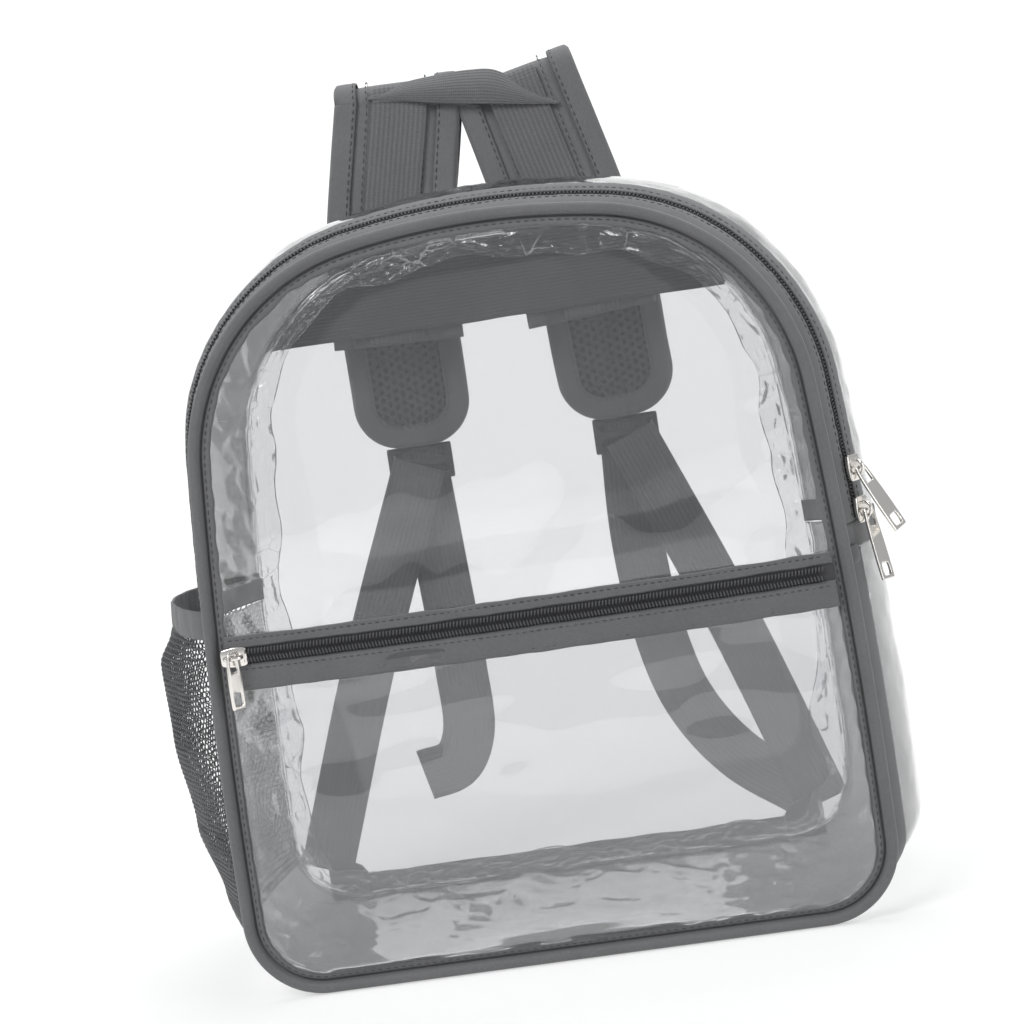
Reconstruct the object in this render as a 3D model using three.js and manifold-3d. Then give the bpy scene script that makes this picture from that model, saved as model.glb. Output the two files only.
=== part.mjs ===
import * as THREE from "three";
import Module from "manifold-3d";

const wasm = await Module();
wasm.setup();

// Millimetres and degrees. +X is the viewer's right, the front faces -Y, +Z is up.
const GAP = 0.3; // clearance between neighbouring pieces
const RIM_TRIM = 0.1; // keeps a panel's top row from shrinking to a point
const OVERLAP = 0.5; // how far solids reach into each other before they are joined

const BAG = { height: 305, width: 268, depth: 130 };
const OUTLINE = { cornerRadius: 32, sideRadius: 2200, shoulderRadius: 90, topRadius: 300 };
const FILM = { thickness: 1, seamInset: 3, fullness: 0.85 };
const BINDING = { width: 9, thickness: 4.5 };
const PANEL = { bulge: 8, power: 2.4, rows: 16, columns: 12, rimDepth: 1.1 };
const MAIN_ZIP = {
  seamHeight: 160, frontTape: 11, coil: 5, backTape: 9.5, tapeThickness: 1.2, coilThickness: 2, lift: 0.6,
};
const SIDE_TAPE = { width: 10, thickness: 1.4 };
const FRONT_STRIP = { width: 10, thickness: 1, foot: 34 };
const POCKET = {
  trimLow: 129, zipLow: 139.5, zipHigh: 146.5, trimHigh: 151, layer: 1.2, hollow: 7, coilLift: 0.8, power: 2,
};
const BACK_BAND = { belowTop: 4, width: 38, thickness: 1.2, inset: 1, rows: 8 };
const BACK_TAPE = { width: 200, height: 12, thickness: 1.2 };
const NET = { low: 22, belowSeam: 9, thickness: 1.2, fullness: 0.6, rows: 9, columns: 12 };
const NET_BAND = { height: 11, thickness: 1.6, bulge: 12 };
const STRAP = {
  topWidth: 60, endWidth: 54, endRadius: 21, coreThickness: 6, binding: 4, bindingThickness: 8.4,
  face: 1, webbing: 25, webbingThickness: 1.3, edgeRound: 1.5, riseSteps: 5, fallSteps: 7, endSteps: 4,
};
const HAUL = {
  thickness: 1.4, bow: 2, standOff: 6.8, lean: 0.1, foldShare: 0.22, foldLength: 8, foldThickness: 3.6,
};
const ADJUSTER = {
  width: 31, height: 15, thickness: 3.4, bar: 3, slotHeight: 3.2, slotCorner: 1.0667, corner: 3, drop: 1,
};
const RIBBON = { width: 25, thickness: 1.4 };
const ANCHOR = { width: 26, height: 16, shortEdge: 16.12, tallEdge: 24, thickness: 1.6, webbingOut: 0.88 };
const SLIDER = {
  width: 8.4, length: 10.6, plate: 2.2, corner: 2.6, archWidth: 1.6, archHeight: 4.4, bar: 1.3,
};
const PULL = {
  width: 8, length: 30, thickness: 1.2, corner: 1.6, neckWidth: 6.6, eyeWidth: 4.2, eyeLength: 6.4,
  eyeCorner: 1.909, rim: 1.3, slotWidth: 4.6, slotHeight: 5, slotInset: 1.7, slotCorner: 0.5667,
};
const POCKET_PULL = { length: 23, turn: 50, width: 7 };
const SLIDER_PLACES = {
  pocketInset: 15, upperRise: 21, lowerRise: 4, turn: 17, mainFloat: 0.9, pocketFloat: 0.75,
};
// How many faces a piece has along its depth or its length.
const SPANS = {
  zipTape: 2, zipCoil: 1, upperFilm: 6, lowerFilm: 8, sideTape: 12, strip: 2, stripCorner: 4, stripSide: 3,
  lowerWebbing: 6, tail: 12,
};
const ARCH_LENGTH = { main: 7, pocket: 8.8 };
const PULL_SPLAY = { upper: 15, lower: -3.5 };
const PULL_LEAN = { upper: 20, lower: 12 };

// Section of the binding: shares of its width inwards from the edge, and of its thickness forwards.
const BINDING_SECTION = [
  { inward: 0, forward: 0 },
  { inward: 0, forward: 0.6 },
  { inward: 0.2, forward: 0.9 },
  { inward: 0.5, forward: 1 },
  { inward: 0.8, forward: 0.9 },
  { inward: 1, forward: 0.6 },
  { inward: 1, forward: 0 },
  { inward: 0.5, forward: 0 },
];

// Directions around the outline, in degrees from +X, and how far the gusset bulges past the seam there.
const GUSSET_BULGE = [
  { angle: -180, bulge: 10 },
  { angle: -135, bulge: 4 },
  { angle: -90, bulge: -0.5 },
  { angle: -45, bulge: 4 },
  { angle: 0, bulge: 20 },
  { angle: 45, bulge: 18 },
  { angle: 90, bulge: 15 },
  { angle: 150, bulge: 13 },
  { angle: 180, bulge: 10 },
];

// Net pocket: how far the net stands off the gusset film at shares of its height.
const NET_STANDOFF = [
  { height: 0, off: 0.3 },
  { height: 0.12, off: 5 },
  { height: 0.35, off: 13 },
  { height: 0.65, off: 19 },
  { height: 0.88, off: 20 },
  { height: 1, off: 13 },
];

// Places behind the bag: across in widths of a strap, behind the back seam in thicknesses of its core, and up
// in heights of the bag. A strap's centre line runs up behind the back panel, over the fold and down to the
// adjuster.
const STRAP_FOLD = { behind: 3.5833, up: 1.1984, radius: 8.5, steps: 8, samples: 400 };
const STRAP_PATHS = {
  left: {
    foldAcross: -0.5583,
    rise: [
      { across: -0.7833, behind: 1.3167, up: 0.8459 },
      { across: -0.7333, behind: 1.3833, up: 0.9344 },
      { across: -0.675, behind: 1.55, up: 1.0164 },
      { across: -0.6, behind: 1.9333, up: 1.1148 },
    ],
    fall: [
      { across: -0.6333, behind: 5.0833, up: 1.1148 },
      { across: -0.7333, behind: 4.8333, up: 1.0164 },
      { across: -0.7833, behind: 4.5, up: 0.9016 },
      { across: -0.7833, behind: 4.1667, up: 0.7869 },
      { across: -0.7833, behind: 4, up: 0.6852 },
    ],
  },
  right: {
    foldAcross: 0.4667,
    rise: [
      { across: 0.7, behind: 1.3167, up: 0.8459 },
      { across: 0.6417, behind: 1.3833, up: 0.9344 },
      { across: 0.5833, behind: 1.55, up: 1.0164 },
      { across: 0.5083, behind: 1.9333, up: 1.1148 },
    ],
    fall: [
      { across: 0.5667, behind: 5.0833, up: 1.1148 },
      { across: 0.7167, behind: 4.8333, up: 1.0164 },
      { across: 0.8, behind: 4.5, up: 0.9016 },
      { across: 0.8333, behind: 4.1667, up: 0.7869 },
      { across: 0.8667, behind: 4, up: 0.6852 },
    ],
  },
};

// Lower webbing from the adjuster to the bottom corner of the back: corner is the share of the way across
// from its start to the middle of the anchor tab. The free tail of the webbing hangs beside it.
const LOWER_PATHS = {
  left: {
    start: -0.7917,
    rows: [
      { corner: 0, behind: 3.5333, up: 0.6557 },
      { corner: 0.5245, behind: 2.5, up: 0.3607 },
      { corner: 1, behind: 0.95, up: 0.0525 },
    ],
  },
  right: {
    start: 0.8917,
    rows: [
      { corner: 0, behind: 3.5333, up: 0.6557 },
      { corner: 0.5267, behind: 2.5, up: 0.3607 },
      { corner: 1, behind: 0.95, up: 0.0525 },
    ],
  },
};
const TAIL_PATHS = {
  left: [
    { across: -0.7833, behind: 4.4667, up: 0.6557 },
    { across: -0.75, behind: 4.8333, up: 0.4918 },
    { across: -0.7167, behind: 4.5, up: 0.3279 },
    { across: -0.7333, behind: 4.3333, up: 0.223 },
    { across: -0.8667, behind: 4.3333, up: 0.177 },
    { across: -1.1333, behind: 4.5, up: 0.1639 },
  ],
  right: [
    { across: 0.8667, behind: 4.4667, up: 0.6557 },
    { across: 0.8333, behind: 5, up: 0.4918 },
    { across: 0.9, behind: 5.1667, up: 0.3443 },
    { across: 1.0667, behind: 5.1667, up: 0.223 },
    { across: 1.4, behind: 5.1667, up: 0.1246 },
    { across: 1.8667, behind: 5, up: 0.0525 },
  ],
};

// Corners of the haul loop's crossing part, seen from the front.
const HAUL_CROSSING = {
  top: [
    { across: -0.7167, up: 1.218 },
    { across: -0.4667, up: 1.2295 },
    { across: -0.1333, up: 1.2328 },
    { across: 0.1, up: 1.2344 },
    { across: 0.3, up: 1.2279 },
    { across: 0.5, up: 1.1984 },
    { across: 0.6833, up: 1.1721 },
  ],
  bottom: [
    { across: -0.7167, up: 1.2131 },
    { across: -0.4667, up: 1.2016 },
    { across: -0.2, up: 1.1918 },
    { across: 0.0333, up: 1.1836 },
    { across: 0.25, up: 1.177 },
    { across: 0.4667, up: 1.1705 },
    { across: 0.6833, up: 1.1656 },
  ],
};

const FINISHES = {
  film: { color: 0xe9edf0, roughness: 0.08, metalness: 0, opacity: 0.3 },
  tape: { color: 0x57585b, roughness: 0.85, metalness: 0, opacity: 1 },
  webbing: { color: 0x505154, roughness: 0.8, metalness: 0, opacity: 1 },
  pad: { color: 0x5a5b5e, roughness: 0.9, metalness: 0, opacity: 1 },
  net: { color: 0x5c5d60, roughness: 0.8, metalness: 0, opacity: 0.6 },
  coil: { color: 0x3a3b3d, roughness: 0.6, metalness: 0, opacity: 1 },
  plastic: { color: 0x3b3c3e, roughness: 0.5, metalness: 0, opacity: 1 },
  metal: { color: 0xcfc6bc, roughness: 0.25, metalness: 1, opacity: 1 },
};

const rad = THREE.MathUtils.degToRad;
const halfWidth = BAG.width / 2;
const frontSeam = -BAG.depth / 2;
const backSeam = BAG.depth / 2;

// A place behind the bag, from a row of shares.
const behindBag = ({ across, behind, up }) => ({
  x: across * STRAP.topWidth, y: backSeam + behind * STRAP.coreThickness, z: up * BAG.height,
});

// Shape helpers.

// Value at a place in a table, read along one named column and eased between neighbours.
function tableValue(rows, key, column, place) {
  const last = rows.length - 1;
  let i = rows.findIndex((row) => row[key] > place) - 1;
  if (i < 0) i = place <= rows[0][key] ? 0 : last - 1;
  const from = rows[i];
  const to = rows[i + 1];
  const share = THREE.MathUtils.clamp((place - from[key]) / (to[key] - from[key]), 0, 1);
  return THREE.MathUtils.lerp(from[column], to[column], THREE.MathUtils.smoothstep(share, 0, 1));
}

// Indexed geometry of a closed solid, with its faces turned outwards.
function closedGeometry(points, faces) {
  let volume = 0;
  for (let k = 0; k < faces.length; k += 3) {
    const [a, b, c] = [points[faces[k]], points[faces[k + 1]], points[faces[k + 2]]];
    volume += a.dot(new THREE.Vector3().crossVectors(b, c));
  }
  const turned = volume < 0 ? faces.slice().reverse() : faces;
  const geometry = new THREE.BufferGeometry().setFromPoints(points);
  geometry.setIndex(turned);
  geometry.computeVertexNormals();
  return geometry;
}

// Joins equal loops of points into one solid; an open run is capped at both ends.
function loft(rows, closed = false) {
  const size = rows[0].length;
  const spans = closed ? rows.length : rows.length - 1;
  const faces = [];
  for (let i = 0; i < spans; i++) {
    const a = i * size;
    const b = ((i + 1) % rows.length) * size;
    for (let k = 0; k < size; k++) {
      const next = (k + 1) % size;
      faces.push(a + k, b + k, b + next, a + k, b + next, a + next);
    }
  }
  if (!closed) {
    const end = (rows.length - 1) * size;
    for (let k = 0; k < size / 2 - 1; k++) {
      const [p, q, r, s] = [k, k + 1, size - 2 - k, size - 1 - k];
      faces.push(p, q, r, p, r, s);
      faces.push(end + p, end + r, end + q, end + p, end + s, end + r);
    }
  }
  return closedGeometry(rows.flat(), faces);
}

function toSolid(geometry) {
  const plain = geometry.index ? geometry.toNonIndexed() : geometry;
  const position = plain.getAttribute("position");
  const seen = new Map();
  const vertices = [];
  const triangles = [];
  for (let i = 0; i < position.count; i++) {
    const point = [position.getX(i), position.getY(i), position.getZ(i)];
    const key = point.map((value) => value.toFixed(4)).join();
    if (!seen.has(key)) {
      seen.set(key, vertices.length / 3);
      vertices.push(...point);
    }
    triangles.push(seen.get(key));
  }
  const mesh = new wasm.Mesh({
    numProp: 3, vertProperties: new Float32Array(vertices), triVerts: new Uint32Array(triangles),
  });
  return new wasm.Manifold(mesh);
}

function joined(...geometries) {
  const solid = geometries.map(toSolid).reduce((whole, part) => whole.add(part));
  const mesh = solid.getMesh();
  const geometry = new THREE.BufferGeometry();
  geometry.setAttribute("position", new THREE.BufferAttribute(new Float32Array(mesh.vertProperties), 3));
  geometry.setIndex([...mesh.triVerts]);
  geometry.computeVertexNormals();
  return geometry;
}

function roundedShape(width, height, corner) {
  const [x, y] = [width / 2, height / 2];
  const shape = new THREE.Shape();
  shape.moveTo(-x + corner, -y);
  shape.lineTo(x - corner, -y);
  shape.absarc(x - corner, -y + corner, corner, -Math.PI / 2, 0);
  shape.lineTo(x, y - corner);
  shape.absarc(x - corner, y - corner, corner, 0, Math.PI / 2);
  shape.lineTo(-x + corner, y);
  shape.absarc(-x + corner, y - corner, corner, Math.PI / 2, Math.PI);
  shape.lineTo(-x, -y + corner);
  shape.absarc(-x + corner, -y + corner, corner, Math.PI, 1.5 * Math.PI);
  return shape;
}

function plate(shape, depth) {
  return new THREE.ExtrudeGeometry(shape, { depth, bevelEnabled: false, curveSegments: 3 });
}

// The D outline: bottom run, corner, side, shoulder and top arcs, each tangent to the next.

const topCentre = { x: 0, z: BAG.height - OUTLINE.topRadius };
const sideCentre = { x: halfWidth - OUTLINE.sideRadius, z: OUTLINE.cornerRadius };
const cornerCentre = { x: halfWidth - OUTLINE.cornerRadius, z: OUTLINE.cornerRadius };
const shoulderCentre = tangentCentre();

// Centre of the shoulder arc, which touches the top arc and the side arc from inside.
function tangentCentre() {
  const fromTop = OUTLINE.topRadius - OUTLINE.shoulderRadius;
  const fromSide = OUTLINE.sideRadius - OUTLINE.shoulderRadius;
  const [dx, dz] = [sideCentre.x - topCentre.x, sideCentre.z - topCentre.z];
  const distance = Math.hypot(dx, dz);
  const along = (fromTop ** 2 - fromSide ** 2 + distance ** 2) / (2 * distance);
  const aside = Math.sqrt(fromTop ** 2 - along ** 2);
  return {
    x: topCentre.x + (along * dx + aside * dz) / distance,
    z: topCentre.z + (along * dz - aside * dx) / distance,
  };
}

const joinAngle = (from, to) => Math.atan2(to.z - from.z, to.x - from.x);
const sideEnd = joinAngle(sideCentre, shoulderCentre);
const shoulderEnd = joinAngle(topCentre, shoulderCentre);
const sideAngle = (height) => Math.asin((height - sideCentre.z) / OUTLINE.sideRadius);

// Stations of one arc: a centre, a radius and the angle of the outline's normal.
function arcStations(centre, radius, from, to, steps) {
  return Array.from({ length: steps + 1 }, (_, i) => ({
    centre,
    radius,
    angle: THREE.MathUtils.lerp(from, to, i / steps),
  }));
}

function mirrored(stations) {
  return stations
    .map(({ centre, radius, angle }) => ({
      centre: { x: -centre.x, z: centre.z }, radius, angle: Math.PI - angle,
    }))
    .reverse();
}

// Right half of the outline above a height, from the side up to the top of the bag.
function upperHalf(height) {
  return [
    ...arcStations(sideCentre, OUTLINE.sideRadius, sideAngle(height), sideEnd, 4),
    ...arcStations(shoulderCentre, OUTLINE.shoulderRadius, sideEnd, shoulderEnd, 9).slice(1),
    ...arcStations(topCentre, OUTLINE.topRadius, shoulderEnd, Math.PI / 2, 5).slice(1),
  ];
}

// Right half of the outline below a height, from the middle of the bottom run up to the side.
function lowerHalf(height) {
  const run = [0, 0.5, 1].map((share) => ({
    centre: { x: cornerCentre.x * share, z: cornerCentre.z },
    radius: OUTLINE.cornerRadius,
    angle: -Math.PI / 2,
  }));
  return [
    ...run,
    ...arcStations(cornerCentre, OUTLINE.cornerRadius, -Math.PI / 2, 0, 6).slice(1),
    ...arcStations(sideCentre, OUTLINE.sideRadius, 0, sideAngle(height), 3).slice(1),
  ];
}

function outlinePoint({ centre, radius, angle }, offset, y) {
  const reach = radius + offset;
  return new THREE.Vector3(centre.x + reach * Math.cos(angle), y, centre.z + reach * Math.sin(angle));
}

// Half the width of the outline at a height, moved in by an inset.
function halfWidthAt(z, inset) {
  const cornerReach = OUTLINE.cornerRadius - inset;
  if (z < cornerCentre.z) {
    return cornerCentre.x + Math.sqrt(Math.max(0, cornerReach ** 2 - (cornerCentre.z - z) ** 2));
  }
  const arcs = [
    { centre: sideCentre, reach: OUTLINE.sideRadius - inset, end: sideEnd },
    { centre: shoulderCentre, reach: OUTLINE.shoulderRadius - inset, end: shoulderEnd },
    { centre: topCentre, reach: OUTLINE.topRadius - inset, end: Math.PI / 2 },
  ];
  const arc = arcs.find(({ centre, reach, end }) => z <= centre.z + reach * Math.sin(end)) ?? arcs[2];
  return arc.centre.x + Math.sqrt(Math.max(0, arc.reach ** 2 - (z - arc.centre.z) ** 2));
}

// Gusset.

const ringBack = frontSeam + BINDING.thickness / 2;
const gussetFront = ringBack + GAP;
const gussetBack = backSeam - GAP;
const zipEdges = zipRuns();

function zipRuns() {
  const tapeEnd = gussetFront + MAIN_ZIP.frontTape;
  const coilEnd = tapeEnd + GAP + MAIN_ZIP.coil;
  const backEnd = coilEnd + GAP + MAIN_ZIP.backTape;
  return {
    tape: [gussetFront, tapeEnd],
    coil: [tapeEnd + GAP, coilEnd],
    back: [coilEnd + GAP, backEnd],
    film: [backEnd + GAP, gussetBack],
  };
}

function gussetBulge(angle) {
  const degrees = THREE.MathUtils.radToDeg(angle);
  const wrapped = degrees > 180 ? degrees - 360 : degrees;
  return tableValue(GUSSET_BULGE, "angle", "bulge", wrapped);
}

// Offset of the gusset's outer face from the outline at a depth.
function gussetOffset(angle, y) {
  const share = THREE.MathUtils.clamp((y - gussetFront) / (gussetBack - gussetFront), 0, 1);
  const rise = Math.sin(Math.PI * share) ** FILM.fullness;
  return -FILM.seamInset + (gussetBulge(angle) + FILM.seamInset) * rise;
}

const steps = (from, to, count) =>
  Array.from({ length: count + 1 }, (_, i) => from + ((to - from) * i) / count);

// A strip of the gusset along a run of stations, between two depths.
function gussetStrip(stations, [from, to], count, thickness, lift = 0) {
  const depths = steps(from, to, count);
  return wall(stations, depths, thickness, (station, y) => gussetOffset(station.angle, y) + lift);
}

// A wall round the outline: its outer face at an offset from each station, its thickness inwards.
function wall(stations, depths, thickness, offsetAt) {
  const rows = stations.map((station) => {
    const face = (inward) => depths.map((y) => outlinePoint(station, offsetAt(station, y) - inward, y));
    return [...face(0), ...face(thickness).reverse()];
  });
  return loft(rows);
}

const upperRun = [...upperHalf(MAIN_ZIP.seamHeight), ...mirrored(upperHalf(MAIN_ZIP.seamHeight)).slice(1)];
const lowerTop = MAIN_ZIP.seamHeight - SIDE_TAPE.width - 2 * GAP;
const lowerRun = [...mirrored(lowerHalf(lowerTop)), ...lowerHalf(lowerTop).slice(1)];
const fullRing = [...lowerHalf(MAIN_ZIP.seamHeight), ...upperHalf(MAIN_ZIP.seamHeight).slice(1)];
const ringStations = [...fullRing, ...mirrored(fullRing).slice(1, -1)];

function sideTape(side) {
  const heights = [lowerTop + GAP, lowerTop + GAP + SIDE_TAPE.width];
  const right = heights.map((height) => ({
    centre: sideCentre, radius: OUTLINE.sideRadius, angle: sideAngle(height),
  }));
  const stations = side > 0 ? right : mirrored(right);
  return gussetStrip(stations, [gussetFront, gussetBack], SPANS.sideTape, SIDE_TAPE.thickness);
}

// Grey strip outside the film along the front edge of the right lower gusset, down to the corner.
function frontStrip() {
  const foot = -rad(FRONT_STRIP.foot);
  const corner = arcStations(cornerCentre, OUTLINE.cornerRadius, foot, 0, SPANS.stripCorner);
  const side = arcStations(sideCentre, OUTLINE.sideRadius, 0, sideAngle(lowerTop), SPANS.stripSide).slice(1);
  const lift = FRONT_STRIP.thickness + GAP;
  const depths = [gussetFront, gussetFront + FRONT_STRIP.width];
  return gussetStrip([...corner, ...side], depths, SPANS.strip, FRONT_STRIP.thickness, lift);
}

// Binding and panels.

function bindingRing() {
  const { width, thickness } = BINDING;
  const rows = ringStations.map((station) =>
    BINDING_SECTION.map(({ inward, forward }) =>
      outlinePoint(station, -width * inward, ringBack - thickness * forward),
    ),
  );
  return loft(rows, true);
}

// Heights that crowd towards both ends, where the outline turns fastest.
function easedHeights(low, high, count) {
  return steps(0, Math.PI, count).map((angle) => low + ((high - low) * (1 - Math.cos(angle))) / 2);
}

// A panel across the bag whose rim follows the outline at an inset.
function crossPanel({ heights, inset, columns, depthAt, thickness }) {
  const shares = steps(-1, 1, columns);
  const rows = heights.map((z) => {
    const half = halfWidthAt(z, inset);
    const front = shares.map((share) => new THREE.Vector3(half * share, depthAt(half * share, z), z));
    const back = front.map((point) => point.clone().add(new THREE.Vector3(0, thickness, 0)));
    return [...front, ...back.reverse()];
  });
  return loft(rows);
}

const panelInset = BINDING.width + GAP;
const panelLow = panelInset;
const panelHigh = BAG.height - panelInset - RIM_TRIM;

function frontPanelDepth(x, z) {
  const half = Math.max(halfWidthAt(z, panelInset), RIM_TRIM);
  const aside = 1 - Math.min(1, Math.abs(x / half)) ** PANEL.power;
  const height = THREE.MathUtils.clamp((z - panelLow) / (panelHigh - panelLow), 0, 1);
  const upright = 1 - Math.abs(2 * height - 1) ** PANEL.power;
  return frontSeam + PANEL.rimDepth - PANEL.bulge * aside * upright;
}

// Pocket layers lie in front of the front panel; the clear sheet bellies out below the zip.
const pocketLayer = (x, z) => frontPanelDepth(x, z) - GAP - POCKET.layer;

function pocketDepth(x, z) {
  const half = Math.max(halfWidthAt(z, panelInset), RIM_TRIM);
  const aside = 1 - Math.min(1, Math.abs(x / half)) ** POCKET.power;
  const height = (z - panelLow) / (POCKET.trimLow - panelLow);
  const belly = Math.max(0, aside * (1 - Math.abs(2 * height - 1) ** POCKET.power));
  return pocketLayer(x, z) - POCKET.hollow * belly;
}

function pocketBand(low, high, lift = 0) {
  return crossPanel({
    heights: [low, high],
    inset: panelInset,
    columns: PANEL.columns,
    depthAt: (x, z) => pocketLayer(x, z) - lift,
    thickness: POCKET.layer + lift,
  });
}

const backFace = backSeam + FILM.thickness;
const backCover = backFace + GAP;
const flat = (y) => () => y;

// Net pocket on the left.

const netSwell = (y) => Math.sin((Math.PI * (y - gussetFront)) / (gussetBack - gussetFront));
const netDepths = steps(gussetFront, gussetBack, NET.columns);

function leftStation(z) {
  const drop = cornerCentre.z - z;
  const right = drop > 0
    ? { centre: cornerCentre, radius: OUTLINE.cornerRadius, angle: -Math.asin(drop / OUTLINE.cornerRadius) }
    : { centre: sideCentre, radius: OUTLINE.sideRadius, angle: sideAngle(z) };
  return mirrored([right])[0];
}

// A wall that stands off the left gusset film by a distance for each height.
function netWall(heights, thickness, standoffAt) {
  const stations = heights.map((z) => ({ ...leftStation(z), standoff: standoffAt(z) }));
  return wall(stations, netDepths, thickness, (station, y) => {
    const clear = gussetOffset(station.angle, y) + 2 * GAP + thickness;
    return clear + station.standoff * Math.max(0, netSwell(y)) ** NET.fullness;
  });
}

const netTop = MAIN_ZIP.seamHeight - NET.belowSeam;

function netPocket() {
  const share = (z) => (z - NET.low) / (netTop - NET.low);
  const standoff = (z) => tableValue(NET_STANDOFF, "height", "off", share(z));
  return netWall(steps(NET.low, netTop, NET.rows), NET.thickness, standoff);
}

function netBand() {
  const low = netTop + GAP;
  return netWall([low, low + NET_BAND.height], NET_BAND.thickness, () => NET_BAND.bulge);
}

// Shoulder straps.

const vector = ({ x, y, z }) => new THREE.Vector3(x, y, z);

// A strap's own coordinates: length along the centre line, offset across, lift towards the outer face.
class StrapMap {
  constructor({ rise, fall, foldAcross }) {
    const { x, y, z } = behindBag({ ...STRAP_FOLD, across: foldAcross });
    const radius = STRAP_FOLD.radius;
    const fold = steps(Math.PI, 0, STRAP_FOLD.steps).map((angle) => ({
      x, y: y + radius * Math.cos(angle), z: z + radius * Math.sin(angle),
    }));
    const points = [...rise.map(behindBag), ...fold, ...fall.map(behindBag)];
    this.curve = new THREE.CatmullRomCurve3(points.map(vector), false, "centripetal");
    this.length = this.curve.getLength();
    const samples = steps(0, 1, STRAP_FOLD.samples).filter((share) => this.curve.getPointAt(share).z >= z);
    this.foldFrom = samples[0] * this.length;
    this.foldTo = samples[samples.length - 1] * this.length;
    this.end = points[points.length - 1];
  }

  place(along, across, lift) {
    const share = THREE.MathUtils.clamp(along / this.length, 0, 1);
    const tangent = this.curve.getTangentAt(share);
    const side = new THREE.Vector3(1, 0, 0).addScaledVector(tangent, -tangent.x).normalize();
    const outward = new THREE.Vector3().crossVectors(side, tangent);
    return this.curve.getPointAt(share).addScaledVector(side, across).addScaledVector(outward, lift);
  }

  fullWidth(along) {
    return THREE.MathUtils.lerp(STRAP.topWidth, STRAP.endWidth, along / this.length);
  }

  // Half the width at a place, moved in by an inset, with the end rounded off.
  halfWidth(along, inset) {
    const half = this.fullWidth(along) / 2 - inset;
    const radius = STRAP.endRadius - inset;
    const past = along - this.roundFrom;
    return past <= 0 ? half : half - radius + Math.sqrt(Math.max(0, radius ** 2 - past ** 2));
  }

  get roundFrom() {
    return this.length - STRAP.endRadius;
  }

  // Shared places along the strap, close together round the fold.
  get stops() {
    return [
      ...steps(0, this.foldFrom, STRAP.riseSteps),
      ...steps(this.foldFrom, this.foldTo, STRAP_FOLD.steps).slice(1),
      ...steps(this.foldTo, this.roundFrom, STRAP.fallSteps).slice(1),
    ];
  }
}

const straps = { left: new StrapMap(STRAP_PATHS.left), right: new StrapMap(STRAP_PATHS.right) };
const coreInset = STRAP.binding + GAP;
const coreHalf = STRAP.coreThickness / 2;
const endTurns = steps(0, Math.PI / 2, STRAP.endSteps).slice(1);

function bodyStops(strap) {
  const radius = STRAP.endRadius - coreInset;
  return [...strap.stops, ...endTurns.map((angle) => strap.roundFrom + radius * Math.sin(angle))];
}

function strapCore(strap) {
  const rows = bodyStops(strap).map((along) => {
    const half = strap.halfWidth(along, coreInset);
    const shoulder = half - STRAP.edgeRound;
    const section = [
      [-half, -coreHalf / 2], [-shoulder, -coreHalf], [shoulder, -coreHalf], [half, -coreHalf / 2],
      [half, coreHalf / 2], [shoulder, coreHalf], [-shoulder, coreHalf], [-half, coreHalf / 2],
    ];
    return section.map(([across, lift]) => strap.place(along, across, lift));
  });
  return loft(rows);
}

// A flat layer on the strap between two lifts, as wide as a function of the length says.
function strapLayer(strap, stops, halfAt, low, high) {
  const rows = stops.map((along) => {
    const half = halfAt(along);
    return [[-half, low], [half, low], [half, high], [-half, high]].map(([across, lift]) =>
      strap.place(along, across, lift),
    );
  });
  return loft(rows);
}

function strapFace(strap) {
  const low = -coreHalf - GAP - STRAP.face;
  const halfAt = (along) => strap.halfWidth(along, coreInset);
  return strapLayer(strap, bodyStops(strap), halfAt, low, low + STRAP.face);
}

// Folded edge tape: down one edge, round the end and back up the other.
function strapBinding(strap) {
  const half = STRAP.bindingThickness / 2;
  const soft = half - STRAP.edgeRound;
  const section = [
    { inset: STRAP.binding, lift: -half },
    { inset: STRAP.edgeRound, lift: -half },
    { inset: 0, lift: -soft },
    { inset: 0, lift: soft },
    { inset: STRAP.edgeRound, lift: half },
    { inset: STRAP.binding, lift: half },
  ];
  const edge = strap.stops.map((along) => ({ along, turn: 0 }));
  const oneSide = [...edge, ...endTurns.map((turn) => ({ along: strap.roundFrom, turn }))];
  const bySide = (side) => oneSide.map((stop) => ({ ...stop, side }));
  const rows = [...bySide(-1), ...bySide(1).reverse()].map(({ along, turn, side }) =>
    section.map(({ inset, lift }) => {
      const pivot = strap.fullWidth(along) / 2 - STRAP.endRadius;
      const radius = STRAP.endRadius - inset;
      return strap.place(along + radius * Math.sin(turn), side * (pivot + radius * Math.cos(turn)), lift);
    }),
  );
  return loft(rows);
}

const webbingHalf = () => STRAP.webbing / 2;
const webbingLift = coreHalf + GAP;

function strapWebbing(strap) {
  const start = (strap.foldFrom + strap.foldTo) / 2;
  const end = strap.length - coreInset - STRAP.edgeRound;
  const stops = [...bodyStops(strap).filter((along) => along > start && along < end), end];
  return strapLayer(strap, stops, webbingHalf, webbingLift, webbingLift + STRAP.webbingThickness);
}

// Haul loop: a leg up each strap, joined by the part that crosses in front of both.
function haulLoop() {
  const legs = Object.values(straps).flatMap((strap) => {
    const end = THREE.MathUtils.lerp(strap.foldFrom, strap.foldTo, HAUL.foldShare);
    const stops = [...strap.stops.filter((along) => along < end), end];
    const folded = stops.filter((along) => along > strap.foldFrom - HAUL.foldLength);
    const leg = strapLayer(strap, stops, webbingHalf, webbingLift, webbingLift + HAUL.thickness);
    const fold = strapLayer(strap, folded, webbingHalf, webbingLift, webbingLift + HAUL.foldThickness);
    return [leg, fold];
  });
  return joined(...legs, haulCrossing());
}

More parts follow.
